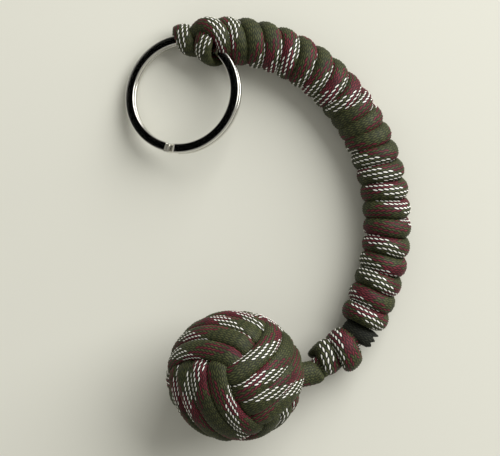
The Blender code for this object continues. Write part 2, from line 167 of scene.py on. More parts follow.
def nylon(name, dark, light, side, bump=0.35, shade_fade=(0.1, 0.45)):
    """Dyed nylon yarn, with streaks between a dark and a light tone along it.

    Its sides get a darker colour as painted shade, which gives way to its own between the two given rises.
    """
    material = bpy.data.materials.new(name)
    material.use_nodes = True
    tree = material.node_tree
    shader = tree.nodes["Principled BSDF"]
    place = add(tree, "ShaderNodeAttribute", attribute_name="yarn_place")
    stretch = (1 / FILAMENT, 1 / STREAK_LENGTH, 1.0)
    stretched = add(
        tree, "ShaderNodeVectorMath", {0: place.outputs["Vector"], 1: stretch}, operation="MULTIPLY"
    )
    streaks = add(tree, "ShaderNodeTexNoise", {"Vector": stretched, "Scale": 1.0, "Detail": 2.0})
    where = add(tree, "ShaderNodeTexCoord").outputs["Object"]
    patches = add(tree, "ShaderNodeTexNoise", {"Vector": where, "Scale": PATCHES, "Detail": 3.0})
    both = add(tree, "ShaderNodeMath", {0: streaks, 1: patches}, operation="ADD")
    tone = add(tree, "ShaderNodeMapRange", {"Value": both, "From Min": TONES[0], "From Max": TONES[1]})
    yarn = add(tree, "ShaderNodeMix", {0: tone, 6: colour(dark), 7: colour(light)}, data_type="RGBA")
    # Painted shade: the colour darkens to the side tone where a yarn sinks between its neighbours.
    rise = add(tree, "ShaderNodeAttribute", attribute_name="rise")
    proud = add(
        tree,
        "ShaderNodeMapRange",
        {"Value": rise.outputs["Fac"], "From Min": shade_fade[0], "From Max": shade_fade[1]},
        interpolation_type="SMOOTHSTEP",
    )
    with_painted_shade = add(tree, "ShaderNodeMix", {0: proud, 6: colour(side), 7: yarn.outputs[2]}, data_type="RGBA")
    tree.links.new(with_painted_shade.outputs[2], shader.inputs["Base Color"])
    raised = add(
        tree, "ShaderNodeBump", {"Height": streaks, "Strength": bump, "Distance": STREAK_DEPTH * MM}
    )
    tree.links.new(raised.outputs["Normal"], shader.inputs["Normal"])
    shader.inputs["Roughness"].default_value = 0.62
    shader.inputs["Sheen Weight"].default_value = 0.03
    shader.inputs["Sheen Roughness"].default_value = 0.4
    shader.inputs["Specular IOR Level"].default_value = 0.2
    return material


print(f"filaments drawn {FILAMENT} mm wide")

# %% [markdown]
# The photograph shows four colours of yarn. Each is one call of the finish above, with its dark and
# light tones and a painted shade for its sides, which lie in the shadow of the yarns beside it. One
# finish with the colour as an attribute would do as well, but separate ones can be named and changed alone.

# %% The four yarns
YARN_FINISHES = [
    # Olive is the ground colour: dull, dry and a little yellow where the light catches it.
    nylon("olive nylon yarn", "#383a1e", "#4f5330", "#222315"),
    # Moss is a shade darker and greener, and keeps the ground from looking like one flat colour.
    nylon("moss nylon yarn", "#2a301a", "#3e4525", "#191c10"),
    # Maroon shows as warm flecks, with an almost black painted shade where the yarn dips under.
    nylon("maroon nylon yarn", "#49181e", "#752a34", "#241111"),
    # Undyed yarn is bright to its very edge, and a nearly black painted shade fills its gaps beside it.
    nylon("white nylon yarn", "#e6e4d8", "#fbfaf2", "#14120c", bump=0.2, shade_fade=(0.22, 0.5)),
]
MAROON, WHITE = 2, 3  # their places in the list, where olive is 0 and moss is 1
print("yarns:", ", ".join(item.name for item in YARN_FINISHES))

# %% [markdown]
# ## The braid
# A round braid has yarns that wind to the right and as many that wind to the left, each going over
# two and under two. It could be an image, or a bump, but its yarns stand proud at the cord's edge
# and give every outline its fine teeth, so here it is real geometry.
#
# The trick is to lay a grid along the yarns themselves. Let p count the left-winding yarns and q
# the right-winding ones. A cell of the grid is then one crossing, and the place round the cord is
# half their difference, the place along it half their sum. Each cell belongs to the yarn on top,
# which gives its colour, and rises in the middle of that yarn's float. Geometry Nodes do this once
# for every cord: the tree reads a spine with its outward direction and its section.

# %% Braid sizes
YARNS = 24  # wound each way
FLOAT = 2  # crossings that a yarn goes over, and then as many under
CELL_LENGTH = 0.98  # along the cord, from one crossing to the next in line
CELL_STEPS = 2  # faces along each side of a crossing
YARN_RELIEF = 0.17  # how far a yarn stands up in the middle of its float
YARN_FULLNESS = 0.7  # below 1, a yarn is fuller towards its sides
WHITE_YARNS = 6  # of those wound to the right
MAROON_YARNS = 4  # of those wound to the right, beside the white ones
CROSSING_MAROON = 7  # of those wound to the left
MOSS_EVERY = 3  # one green crossing in three is moss
print(f"white comes round every {YARNS * CELL_LENGTH:.1f} mm of cord")

# %% [markdown]
# A geometry tree is built once and used by many objects, each with its own values. Whatever differs
# from cord to cord, such as its length in cells or how square its section is, becomes a named
# input. The cord's spine is the mesh that the tree starts from.

# %% Braid tree: its inputs


def new_tree(name, sockets):
    """A geometry tree with these named inputs, its inputs' sockets and its output node."""
    tree = bpy.data.node_groups.new(name, "GeometryNodeTree")
    tree.interface.new_socket("Geometry", in_out="OUTPUT", socket_type="NodeSocketGeometry")
    for label, kind in sockets:
        tree.interface.new_socket(label, in_out="INPUT", socket_type="NodeSocket" + kind)
    start = tree.nodes.new("NodeGroupInput")
    end = tree.nodes.new("NodeGroupOutput")
    return tree, start.outputs, end


BRAID_SOCKETS = [
    ("Spine", "Geometry"),
    ("Yarns", "Float"),
    ("Cells", "Float"),
    ("First cell", "Float"),
    ("Cell length", "Float"),
    ("Relief", "Float"),
    ("Rounding", "Float"),
    ("Squareness", "Float"),
    ("Table", "Float"),
]
BRAID, BRAID_INPUTS, BRAID_END = new_tree("braided sheath", BRAID_SOCKETS)
print("braid inputs:", ", ".join(label for label, _ in BRAID_SOCKETS))

# %% [markdown]
# The two sets of yarns cross the cord at a slant. A grid laid straight along the cord would cut
# through them and could show them only as a picture. Here the grid's own rows and columns are the
# yarns, so every crossing has a whole number of faces. The counts p and q are stored while the grid
# is still flat, and are snapped to whole steps, because a rounding error would otherwise put a face
# on the wrong yarn.

# %% Braid tree: the grid of crossings
SNAP_LIFT = 0.25 / CELL_STEPS  # keeps a count that rounding left just short of its step


def braid_grid(tree, size):
    """A grid with a whole number of faces in each crossing, which stores its p and q."""
    long = add(
        tree, "ShaderNodeMath", {0: size["Cells"], 1: 2.0, 2: size["Yarns"]}, operation="MULTIPLY_ADD"
    )
    across = add(
        tree, "ShaderNodeMath", {0: size["Yarns"], 1: CELL_STEPS, 2: 1.0}, operation="MULTIPLY_ADD"
    )
    down = add(tree, "ShaderNodeMath", {0: long, 1: CELL_STEPS, 2: 1.0}, operation="MULTIPLY_ADD")
    grid = add(
        tree,
        "GeometryNodeMeshGrid",
        {"Size X": size["Yarns"], "Size Y": long, "Vertices X": across, "Vertices Y": down},
    )
    spot = add(tree, "ShaderNodeSeparateXYZ", {0: add(tree, "GeometryNodeInputPosition")})
    counts = []
    for axis, extent in (("X", size["Yarns"]), ("Y", long)):
        half = add(tree, "ShaderNodeMath", {0: extent, 1: 0.5}, operation="MULTIPLY")
        count = add(tree, "ShaderNodeMath", {0: spot.outputs[axis], 1: half}, operation="ADD")
        count = add(tree, "ShaderNodeMath", {0: count, 1: SNAP_LIFT}, operation="ADD")
        counts.append(add(tree, "ShaderNodeMath", {0: count, 1: 1.0 / CELL_STEPS}, operation="SNAP"))
    shift = add(tree, "ShaderNodeMath", {0: size["First cell"], 1: 2.0}, operation="MULTIPLY")
    shift = add(tree, "ShaderNodeMath", {0: shift, 1: size["Yarns"]}, operation="SUBTRACT")
    q = add(tree, "ShaderNodeMath", {0: counts[1], 1: shift}, operation="ADD")
    return add(
        tree,
        "GeometryNodeStoreNamedAttribute",
        {
            "Geometry": grid.outputs["Mesh"],
            "Name": "crossing",
            "Value": add(tree, "ShaderNodeCombineXYZ", {"X": counts[0], "Y": q}),
        },
        data_type="FLOAT_VECTOR",
        domain="POINT",
    )


def read_crossing(tree):
    """The stored p and q, and the place along the cord, in cells."""
    stored = add(tree, "GeometryNodeInputNamedAttribute", {"Name": "crossing"}, data_type="FLOAT_VECTOR")
    parts = add(tree, "ShaderNodeSeparateXYZ", {0: stored})
    p, q = parts.outputs["X"], parts.outputs["Y"]
    total = add(tree, "ShaderNodeMath", {0: p, 1: q}, operation="ADD")
    return p, q, add(tree, "ShaderNodeMath", {0: total, 1: 0.5}, operation="MULTIPLY")


sheath = braid_grid(BRAID, BRAID_INPUTS)
print("braid tree with its grid:", len(BRAID.nodes), "nodes")

# %% [markdown]
# A machine braids this sheath from bobbins of dyed yarn, and its pattern is the order of the
# bobbins. Which set is on top depends only on the difference of the two counts, so one remainder
# says it. The colour then depends on which bobbin the yarn came from: white beside maroon in one
# set, some maroon in the other, and two greens for the ground. A rule like this follows a cord of
# any length, where a painted picture would have to be drawn out for each.

# %% Braid tree: which yarn is on top


def braid_colours(tree, mesh):
    """Stores on each face whether the right-winding yarn is on top, and the colour of the top yarn."""
    p, q, _ = read_crossing(tree)
    i = add(tree, "ShaderNodeMath", {0: p}, operation="FLOOR")
    j = add(tree, "ShaderNodeMath", {0: q}, operation="FLOOR")
    step = add(tree, "ShaderNodeMath", {0: i, 1: j}, operation="SUBTRACT")
    step = add(tree, "ShaderNodeMath", {0: step, 1: 2.0 * FLOAT}, operation="FLOORED_MODULO")
    right = add(tree, "ShaderNodeMath", {0: step, 1: FLOAT - 0.5}, operation="LESS_THAN")
    left = add(tree, "ShaderNodeMath", {0: 1.0, 1: right}, operation="SUBTRACT")

    # The ground is olive, 0, where this comparison fails, and moss, 1, where it holds.
    total = add(tree, "ShaderNodeMath", {0: i, 1: j}, operation="ADD")
    green = add(tree, "ShaderNodeMath", {0: total, 1: float(MOSS_EVERY)}, operation="FLOORED_MODULO")
    green = add(tree, "ShaderNodeMath", {0: green, 1: MOSS_EVERY - 1.5}, operation="GREATER_THAN")

    # Counts are whole numbers, so a limit lies half way between two of them.
    right_yarn = add(tree, "ShaderNodeMath", {0: j, 1: float(YARNS)}, operation="FLOORED_MODULO")
    left_yarn = add(tree, "ShaderNodeMath", {0: i, 1: float(YARNS)}, operation="FLOORED_MODULO")
    white = add(tree, "ShaderNodeMath", {0: right_yarn, 1: WHITE_YARNS - 0.5}, operation="LESS_THAN")
    beside = YARNS - MAROON_YARNS - 0.5
    maroon = add(tree, "ShaderNodeMath", {0: right_yarn, 1: beside}, operation="GREATER_THAN")
    crossing = add(tree, "ShaderNodeMath", {0: left_yarn, 1: CROSSING_MAROON - 0.5}, operation="LESS_THAN")
    on_right = add(tree, "ShaderNodeMix", {0: maroon, 2: green, 3: float(MAROON)})
    on_right = add(tree, "ShaderNodeMix", {0: white, 2: on_right, 3: float(WHITE)})
    on_left = add(tree, "ShaderNodeMix", {0: crossing, 2: green, 3: float(MAROON)})
    top = add(tree, "ShaderNodeMix", {0: left, 2: on_right, 3: on_left})
    for label, value in (("right_on_top", right), ("yarn_colour", top)):
        mesh = add(
            tree,
            "GeometryNodeStoreNamedAttribute",
            {"Geometry": mesh, "Name": label, "Value": value},
            data_type="FLOAT",
            domain="FACE",
        )
    return mesh


sheath = braid_colours(BRAID, sheath)
print("braid tree with its colours:", len(BRAID.nodes), "nodes")

# %% [markdown]
# The nylon finish draws its streaks along the yarn, so it has to know how far across and along the
# yarn each point is. Unwrapping every cord by hand could give that, but the counts already hold it.
# A point between two crossings lies on two yarns, and so the place is stored on the corners of
# faces and not on points.

# %% Braid tree: the place on each yarn
OTHER_WAY = 7.0  # moves the right-winding yarns' streaks, so that they aren't those of the left


def place_on_yarn(tree, mesh, size):
    """Stores each corner's place across and along the yarn on top, in millimetres."""
    p, q, _ = read_crossing(tree)
    right = add(tree, "GeometryNodeInputNamedAttribute", {"Name": "right_on_top"}, data_type="FLOAT")
    on_left = add(tree, "ShaderNodeCombineXYZ", {"X": p, "Y": q})
    on_right = add(tree, "ShaderNodeCombineXYZ", {"X": q, "Y": p, "Z": OTHER_WAY})
    chosen = add(tree, "ShaderNodeMix", {0: right, 4: on_left, 5: on_right}, data_type="VECTOR")
    half = add(tree, "ShaderNodeMath", {0: size["Cell length"], 1: 0.5 / MM}, operation="MULTIPLY")
    place = add(tree, "ShaderNodeVectorMath", {0: chosen.outputs[1], "Scale": half}, operation="SCALE")
    return add(
        tree,
        "GeometryNodeStoreNamedAttribute",
        {"Geometry": mesh, "Name": "yarn_place", "Value": place},
        data_type="FLOAT_VECTOR",
        domain="CORNER",
    )


sheath = place_on_yarn(BRAID, sheath, BRAID_INPUTS)
print("braid tree with its yarn places:", len(BRAID.nodes), "nodes")

# %% [markdown]
# A yarn is a soft round bundle that climbs over two others and dives under the next two. Its height
# is a round hump across it, times a long swell along its float. Where two yarns cross, the higher
# one is what the eye sees. The height is stored, because the nylon finish also paints shade by it.

# %% Braid tree: how high each point stands


def yarn_rise(tree):
    """0 between yarns and 1 in the middle of a float."""
    p, q, _ = read_crossing(tree)
    heights = []
    for across, along, lag in ((q, p, 0.0), (p, q, 1.0)):
        wave = add(tree, "ShaderNodeMath", {0: across, 1: math.pi}, operation="MULTIPLY")
        wave = add(tree, "ShaderNodeMath", {0: wave}, operation="SINE")
        wave = add(tree, "ShaderNodeMath", {0: wave}, operation="ABSOLUTE")
        wave = add(tree, "ShaderNodeMath", {0: wave, 1: YARN_FULLNESS}, operation="POWER")
        index = add(tree, "ShaderNodeMath", {0: across}, operation="FLOOR")
        since = add(tree, "ShaderNodeMath", {0: along, 1: index}, operation="SUBTRACT")
        since = add(tree, "ShaderNodeMath", {0: since, 1: lag}, operation="SUBTRACT")
        swell = add(tree, "ShaderNodeMath", {0: since, 1: math.pi / FLOAT}, operation="MULTIPLY")
        swell = add(tree, "ShaderNodeMath", {0: swell}, operation="SINE")
        swell = add(tree, "ShaderNodeMath", {0: swell, 1: 0.0}, operation="MAXIMUM")
        heights.append(add(tree, "ShaderNodeMath", {0: wave, 1: swell}, operation="MULTIPLY"))
    return add(tree, "ShaderNodeMath", {0: heights[0], 1: heights[1]}, operation="MAXIMUM")


sheath = add(
    BRAID,
    "GeometryNodeStoreNamedAttribute",
    {"Geometry": sheath, "Name": "rise", "Value": yarn_rise(BRAID)},
    data_type="FLOAT",
    domain="POINT",
)
print("braid tree with its relief:", len(BRAID.nodes), "nodes")

# %% [markdown]
# Laid out flat, the slanted grid runs past the cord at both ends, like a bandage before it is
# trimmed. The faces past the cord's first and last cell are deleted, each by its own middle, and
# the caps below then draw what is left of each end together.

# %% Braid tree: trim the ends
END_MARGIN = 0.01  # of a cell


def outside_length(tree, size):
    """Whether a face lies before the cord's first cell or after its last."""
    _, _, v = read_crossing(tree)
    last = add(tree, "ShaderNodeMath", {0: size["First cell"], 1: size["Cells"]}, operation="ADD")
    low = add(tree, "ShaderNodeMath", {0: size["First cell"], 1: END_MARGIN}, operation="ADD")
    high = add(tree, "ShaderNodeMath", {0: last, 1: END_MARGIN}, operation="SUBTRACT")
    before = add(tree, "ShaderNodeMath", {0: v, 1: low}, operation="LESS_THAN")
    after = add(tree, "ShaderNodeMath", {0: v, 1: high}, operation="GREATER_THAN")
    return add(tree, "ShaderNodeMath", {0: before, 1: after}, operation="MAXIMUM")


sheath = add(
    BRAID,
    "GeometryNodeDeleteGeometry",
    {"Geometry": sheath, "Selection": outside_length(BRAID, BRAID_INPUTS)},
    domain="FACE",
    mode="ALL",
)
print("braid tree, trimmed:", len(BRAID.nodes), "nodes")

# %% [markdown]
# Up to here the sheath is flat. A point's place along the cord now picks a place on the spine.
# Blender can sweep a profile along a curve by itself, but then the yarns, the twist and the ends
# can't follow rules of their own, so the spine is sampled for each point of the sheath.

# %% Braid tree: the spine at each point


def cells_from_start(tree, size):
    """How many cells past the cord's start a point is."""
    _, _, v = read_crossing(tree)
    return add(tree, "ShaderNodeMath", {0: v, 1: size["First cell"]}, operation="SUBTRACT")


def spine_at(tree, size, cells):
    """The spine's place, its sideways and upward directions and its section, this many cells along it."""
    reach = add(tree, "ShaderNodeMath", {0: cells, 1: size["Cell length"]}, operation="MULTIPLY")
    curve = add(tree, "GeometryNodeMeshToCurve", {"Mesh": size["Spine"]})
    samples = []
    for label in ("facing", "section"):
        stored = add(tree, "GeometryNodeInputNamedAttribute", {"Name": label}, data_type="FLOAT_VECTOR")
        samples.append(
            add(
                tree,
                "GeometryNodeSampleCurve",
                {"Curves": curve, "Value": stored, "Length": reach},
                mode="LENGTH",
                data_type="FLOAT_VECTOR",
            )
        )
    facing, section = (
        next(item for item in sample.outputs if item.name == "Value" and item.enabled)
        for sample in samples
    )
    tangent = samples[0].outputs["Tangent"]
    side = add(tree, "ShaderNodeVectorMath", {0: facing, 1: tangent}, operation="CROSS_PRODUCT")
    side = add(tree, "ShaderNodeVectorMath", {0: side}, operation="NORMALIZE")
    above = add(tree, "ShaderNodeVectorMath", {0: tangent, 1: side}, operation="CROSS_PRODUCT")
    section = add(tree, "ShaderNodeSeparateXYZ", {0: section}).outputs
    return samples[0].outputs["Position"], side, above, section


cells_along = cells_from_start(BRAID, BRAID_INPUTS)
spine = spine_at(BRAID, BRAID_INPUTS, cells_along)
print("braid tree with its spine:", len(BRAID.nodes), "nodes")

# %% [markdown]
# A point's place round the cord becomes an angle, and the spine's own twist is added to it, which
# brings the white yarns to the side where the photograph shows them. At both ends of the cord its
# section shrinks in the curve of a circle, which gives a round cap.

# %% Braid tree: the angle and the caps


def angle_round(tree, size, turned):
    """The angle round the cord, which is turned by this share of a whole turn."""
    p, q, _ = read_crossing(tree)
    u = add(tree, "ShaderNodeMath", {0: p, 1: q}, operation="SUBTRACT")
    u = add(tree, "ShaderNodeMath", {0: u, 1: 0.5}, operation="MULTIPLY")
    share = add(tree, "ShaderNodeMath", {0: u, 1: size["Yarns"]}, operation="DIVIDE")
    share = add(tree, "ShaderNodeMath", {0: share, 1: turned}, operation="ADD")
    return add(tree, "ShaderNodeMath", {0: share, 1: 2 * math.pi}, operation="MULTIPLY")


def round_caps(tree, size, cells):
    """1 along the cord, and down to 0 at both ends as a circle is."""
    to_end = add(tree, "ShaderNodeMath", {0: size["Cells"], 1: cells}, operation="SUBTRACT")
    near = add(tree, "ShaderNodeMath", {0: cells, 1: to_end}, operation="MINIMUM")
    near = add(tree, "ShaderNodeMath", {0: near, 1: size["Cell length"]}, operation="MULTIPLY")
    near = add(tree, "ShaderNodeMath", {0: near, 1: size["Rounding"]}, operation="DIVIDE", use_clamp=True)
    short = add(tree, "ShaderNodeMath", {0: 1.0, 1: near}, operation="SUBTRACT")
    short = add(tree, "ShaderNodeMath", {0: short, 1: short}, operation="MULTIPLY")
    taper = add(tree, "ShaderNodeMath", {0: 1.0, 1: short}, operation="SUBTRACT")
    return add(tree, "ShaderNodeMath", {0: taper}, operation="SQRT")


angle = angle_round(BRAID, BRAID_INPUTS, spine[3]["Z"])
taper = round_caps(BRAID, BRAID_INPUTS, cells_along)
print("braid tree with its angle and caps:", len(BRAID.nodes), "nodes")

# %% [markdown]
# A point stands off the spine by its half width one way and its half height the other, each with
# the yarn's rise on top. A cord that is wound tight is pressed between its neighbours, which is why
# its section can be squarer than a circle. Where it lies on the table it is flat underneath. A
# smooth maximum of its height and the table's does that without a sharp crease.

# %% Braid tree: from the flat sheath to the cord
TABLE_SOFTNESS = 0.4  # mm over which a cord's side curves into its flat underside


def round_the_spine(tree, mesh, size, spine, angle, taper):
    """Moves each point of the flat sheath to its place round the spine."""
    spot, side, above, section = spine
    stored = add(tree, "GeometryNodeInputNamedAttribute", {"Name": "rise"}, data_type="FLOAT")
    rise = add(tree, "ShaderNodeMath", {0: stored, 1: size["Relief"]}, operation="MULTIPLY")
    parts = []
    for wave, half, way in (("COSINE", "X", side), ("SINE", "Y", above)):
        turn = add(tree, "ShaderNodeMath", {0: angle}, operation=wave)
        share = add(tree, "ShaderNodeMath", {0: turn}, operation="ABSOLUTE")
        if half == "Y":
            share = add(tree, "ShaderNodeMath", {0: share, 1: size["Squareness"]}, operation="POWER")
        sign = add(tree, "ShaderNodeMath", {0: turn}, operation="SIGN")
        out = add(tree, "ShaderNodeMath", {0: section[half], 1: rise}, operation="ADD")
        for factor in (share, sign, taper):
            out = add(tree, "ShaderNodeMath", {0: out, 1: factor}, operation="MULTIPLY")
        parts.append(add(tree, "ShaderNodeVectorMath", {0: way, "Scale": out}, operation="SCALE"))
    offset = add(tree, "ShaderNodeVectorMath", {0: parts[0], 1: parts[1]}, operation="ADD")
    spot = add(tree, "ShaderNodeVectorMath", {0: spot, 1: offset}, operation="ADD")
    axes = add(tree, "ShaderNodeSeparateXYZ", {0: spot}).outputs
    height = add(
        tree,
        "ShaderNodeMath",
        {0: axes["Z"], 1: size["Table"], 2: TABLE_SOFTNESS * MM},
        operation="SMOOTH_MAX",
    )
    spot = add(tree, "ShaderNodeCombineXYZ", {"X": axes["X"], "Y": axes["Y"], "Z": height})
    return add(tree, "GeometryNodeSetPosition", {"Geometry": mesh, "Position": spot})


sheath = round_the_spine(BRAID, sheath, BRAID_INPUTS, spine, angle, taper)
print("braid tree, round its spine:", len(BRAID.nodes), "nodes")

# %% [markdown]
# The sheath's two long edges now lie on each other, and merging their points closes the tube. The
# finishes come last. There is one Set Material node for each yarn, and it picks the faces that
# stored that yarn's number.

# %% Braid tree: close it and give it its finishes
MERGE = 0.02
NUMBER_SLACK = 0.3  # numbers nearer than this are the same yarn

sheath = add(BRAID, "GeometryNodeMergeByDistance", {"Geometry": sheath, "Distance": MERGE * MM})
sheath = add(BRAID, "GeometryNodeSetShadeSmooth", {"Geometry": sheath})
sheath = add(BRAID, "GeometryNodeRealizeInstances", {"Geometry": sheath})
top_yarn = add(BRAID, "GeometryNodeInputNamedAttribute", {"Name": "yarn_colour"}, data_type="FLOAT")
for number, finish in enumerate(YARN_FINISHES):
    compared = {0: top_yarn, 1: float(number), 2: NUMBER_SLACK}
    chosen = add(BRAID, "ShaderNodeMath", compared, operation="COMPARE")
    sheath = add(
        BRAID, "GeometryNodeSetMaterial", {"Geometry": sheath, "Selection": chosen, "Material": finish}
    )
BRAID.links.new(sheath.outputs[0], BRAID_END.inputs["Geometry"])
print("whole braid tree:", len(BRAID.nodes), "nodes")

# %% [markdown]
# A cord is a spine: points, the direction its flat side faces, and half its width and height. One
# group of white yarns winds round it and comes back to the same side once in 24 cells. Where the
# photograph shows white in a certain place, the cord was simply twisted a little more or less when
# it was tied, and a cord's twist here is worked out from those places.

# %% A spine and its twist
SPINE_STEP = 0.4
OUTWARD = 0.25  # of a turn, from the cord's side to the face that looks out


def evenly(centres, facings):
    """The spine again with even short steps, and the distance along it."""
    reach = distance_along(centres)
    spots = np.linspace(0.0, reach[-1], round(reach[-1] / SPINE_STEP) + 1)
    centres = np.stack([np.interp(spots, reach, centres[:, k]) for k in range(3)], axis=1)
    facings = np.stack([np.interp(spots, reach, facings[:, k]) for k in range(3)], axis=1)
    return centres, rows_of_length_one(facings), spots


def twist(reach, cell, first, whites):
    """How far the braid is turned at each point, so that white faces out at the given distances."""
    if not len(whites):
        return np.zeros(len(reach))
    turned, leads = [], 0
    for index, here in enumerate(whites):
        if index:
            leads += max(1, round((here - whites[index - 1]) / (YARNS * cell)))
        turned.append(OUTWARD + leads - (first + here / cell - WHITE_YARNS / 2) / YARNS)
    return np.interp(reach, whites, turned)


def spine_mesh(name, centres, facings, sections):
    """The spine as a mesh of edges, which carries what the tree reads."""
    data = bpy.data.meshes.new(name)
    data.from_pydata(centres * MM, [(k, k + 1) for k in range(len(centres) - 1)], [])
    for label, rows in (("facing", facings), ("section", sections)):
        attribute = data.attributes.new(label, "FLOAT_VECTOR", "POINT")
        attribute.data.foreach_set("vector", rows.astype(np.float32).ravel())
    return data


print(f"a spine has a point every {SPINE_STEP} mm")

# %% [markdown]
# Each cord gets the tree as a modifier, with its own sizes. Blender names a modifier's inputs by an
# identifier, and the names on the screen are only labels, so the sizes are matched by label and set
# by identifier. The result is copied into a plain mesh, which the frame's bodies can carry.

# %% From a spine to a cord
END_ROUNDING = 1.4
TABLE_CLEARANCE = 0.03


def braid(name, centres, facings, half_width, half_height, whites=(), first=0, square=0.85,
          rounding=END_ROUNDING):
    """A braided cord along a spine, as a plain mesh object.

    Whites are distances along it where white faces out, and first is the number of its first cell.
    """
    centres, facings, reach = evenly(np.asarray(centres, float), np.asarray(facings, float))
    cells = round(reach[-1] / CELL_LENGTH)
    cell = reach[-1] / cells
    halves = np.tile([half_width * MM, half_height * MM], (len(reach), 1))
    sections = np.column_stack([halves, twist(reach, cell, first, whites)])
    thing = put_in_scene(name, spine_mesh(name, centres, facings, sections))
    modifier = thing.modifiers.new("braid", "NODES")
    modifier.node_group = BRAID
    sizes = {
        "Yarns": float(YARNS),
        "Cells": float(cells),
        "First cell": float(first),
        "Cell length": cell * MM,
        "Relief": YARN_RELIEF * MM,
        "Rounding": rounding * MM,
        "Squareness": square,
        "Table": TABLE_CLEARANCE * MM,
    }
    for item in BRAID.interface.items_tree:
        if item.name in sizes:
            modifier[item.identifier] = sizes[item.name]
    seen = thing.evaluated_get(bpy.context.evaluated_depsgraph_get())
    mesh = bpy.data.meshes.new_from_object(seen)
    thing.modifiers.clear()
    thing.data = mesh
    mesh.name = name
    print(f"{name}: {reach[-1]:.0f} mm, {cells} cells, {len(mesh.polygons)} faces")
    return thing


print(f"a cord's ends are rounded over {END_ROUNDING} mm")

# %% [markdown]
# ## The handle
# The handle is one cord wound 21 times over a core strand, which curves round between the knot and
# the ring. Its route is the same curve as in the frame, through the same points. It could be a
# Blender curve object. Plain arithmetic is used because the turns, the core and the bending places
# all ask for the curve at a distance along it.

# %% Handle route
HANDLE_POINTS = [
    (-13.3, 46.5),
    (-5.6, 46.2),
    (3.0, 44.0),
    (11.1, 39.5),
    (17.9, 33.3),
    (23.9, 24.6),
    (28.3, 13.2),
    (29.8, 1.0),
    (28.5, -10.0),
    (24.4, -21.6),
]
HANDLE_HEIGHT = 5.55
DIRECTION_SPAN = 1.0  # mm of the route over which its direction is taken


def smooth_through(points, steps=40):
    """Points on a smooth curve through the given ones."""
    points = np.array(points, float)
    padded = np.concatenate([[2 * points[0] - points[1]], points, [2 * points[-1] - points[-2]]])
    spots = []
    for before, here, there, after in zip(padded, padded[1:], padded[2:], padded[3:]):
        t = np.linspace(0.0, 1.0, steps, endpoint=False)[:, None]
        bend = 2 * before - 5 * here + 4 * there - after
        turn = 3 * here - before - 3 * there + after
        spots.append(0.5 * (2 * here + (there - before) * t + bend * t**2 + turn * t**3))
    return np.concatenate([*spots, points[-1:]])


HANDLE_SPOTS = smooth_through([(x, y, HANDLE_HEIGHT) for x, y in HANDLE_POINTS])
HANDLE_REACH = distance_along(HANDLE_SPOTS)
HANDLE_LENGTH = HANDLE_REACH[-1]


def handle_at(s):
    """Centres and outer sides of the handle at these distances, straight past its ends."""
    s = np.atleast_1d(np.asarray(s, float))
    inside = np.clip(s, 0.0, HANDLE_LENGTH)
    low = np.clip(s - DIRECTION_SPAN / 2, 0.0, HANDLE_LENGTH - DIRECTION_SPAN)
    centres, starts, ends = (
        np.stack([np.interp(q, HANDLE_REACH, HANDLE_SPOTS[:, k]) for k in range(3)], axis=1)
        for q in (inside, low, low + DIRECTION_SPAN)
    )
    ahead = rows_of_length_one(ends - starts)
    return centres + (s - inside)[:, None] * ahead, np.cross(UP, ahead)


print(f"handle {HANDLE_LENGTH:.1f} mm")

# %% [markdown]
# A winding could be a row of separate rings, but the real turns are one helix. A turn runs ahead
# on its way round the inner edge, where the curve is tighter, and its top leans a little. Both
# change along the handle, so they are given at a few turns and read off between them. The places
# where white faces out are given in turns as well, as the photograph shows them.

# %% Handle turns: the helix
WRAP_START = -1.6
WRAP_TURNS = 21
WRAP_STOP = 21.72  # turns: the last turn ends underneath
WRAP_RADIUS = 4.13
WRAP_PITCH = (HANDLE_LENGTH - WRAP_START) / WRAP_TURNS
SLANT_TURNS = (0.0, 8.0, 11.5, 21.0)
SLANTS = (2.3, 0.5, -2.4, -2.4)  # how far a turn has run ahead at the inner edge, beyond half a pitch
LEANS = (0.8, 1.6, 0.5, 0.3)  # how far a turn's top leans ahead
WHITE_TURNS = [
    0.2, 1.17, 2.48, 3.5, 4.3, 5.56, 6.42, 7.38, 8.3, 9.05, 9.85, 10.7,
    11.58, 12.36, 13.28, 14.2, 15.08, 15.95, 16.6, 17.25, 18.47, 19.24, 20.55, 21.2,
]
TURN_STEPS = 96  # points on a turn
UNDERNEATH = -0.25  # turns, from the outer edge or the side


def wrap_reach(turns):
    """How far along the handle the wound cord is after this many turns from its outer edge."""
    slant, lean = np.interp(turns, SLANT_TURNS, SLANTS), np.interp(turns, SLANT_TURNS, LEANS)
    angle = 2 * np.pi * turns
    return WRAP_START + WRAP_PITCH * turns + slant * (1 - np.cos(angle)) / 2 + lean * np.sin(angle)


def wound(turns):
    """The wound cord's centres and outward directions."""
    angle = 2 * np.pi * turns[:, None]
    centres, outer = handle_at(wrap_reach(turns))
    outward = np.cos(angle) * outer + np.sin(angle) * UP
    return centres + WRAP_RADIUS * outward, outward


print(f"a turn of the handle every {WRAP_PITCH:.2f} mm")

# %% [markdown]
# The cord comes up from the ring loop and lies across the handle's end before it starts to wind.
# That strand is no part of the helix, so it gets a spine of its own through a few points.

# %% First strand
WRAP_HALF_WIDTH = 2.2
WRAP_HALF_HEIGHT = 1.75
FIRST_STRAND_POINTS = [
    (-18.2, 46.4, 4.2),
    (-17.5, 48.6, 6.6),
    (-15.6, 49.9, 8.6),
    (-13.2, 49.2, 9.9),
    (-11.3, 47.2, 10.0),
    (-10.1, 44.8, 8.8),
    (-9.5, 42.7, 6.2),
    (-9.3, 42.0, 3.6),
]
FIRST_STRAND_AXIS = np.array([-13.3, 46.3, 5.4])  # it faces away from here
FIRST_STRAND_SPREAD = (0.3, 1.0, 1.0)  # and less along the handle than across it
FIRST_STRAND_WHITE = 10.5  # mm from its start

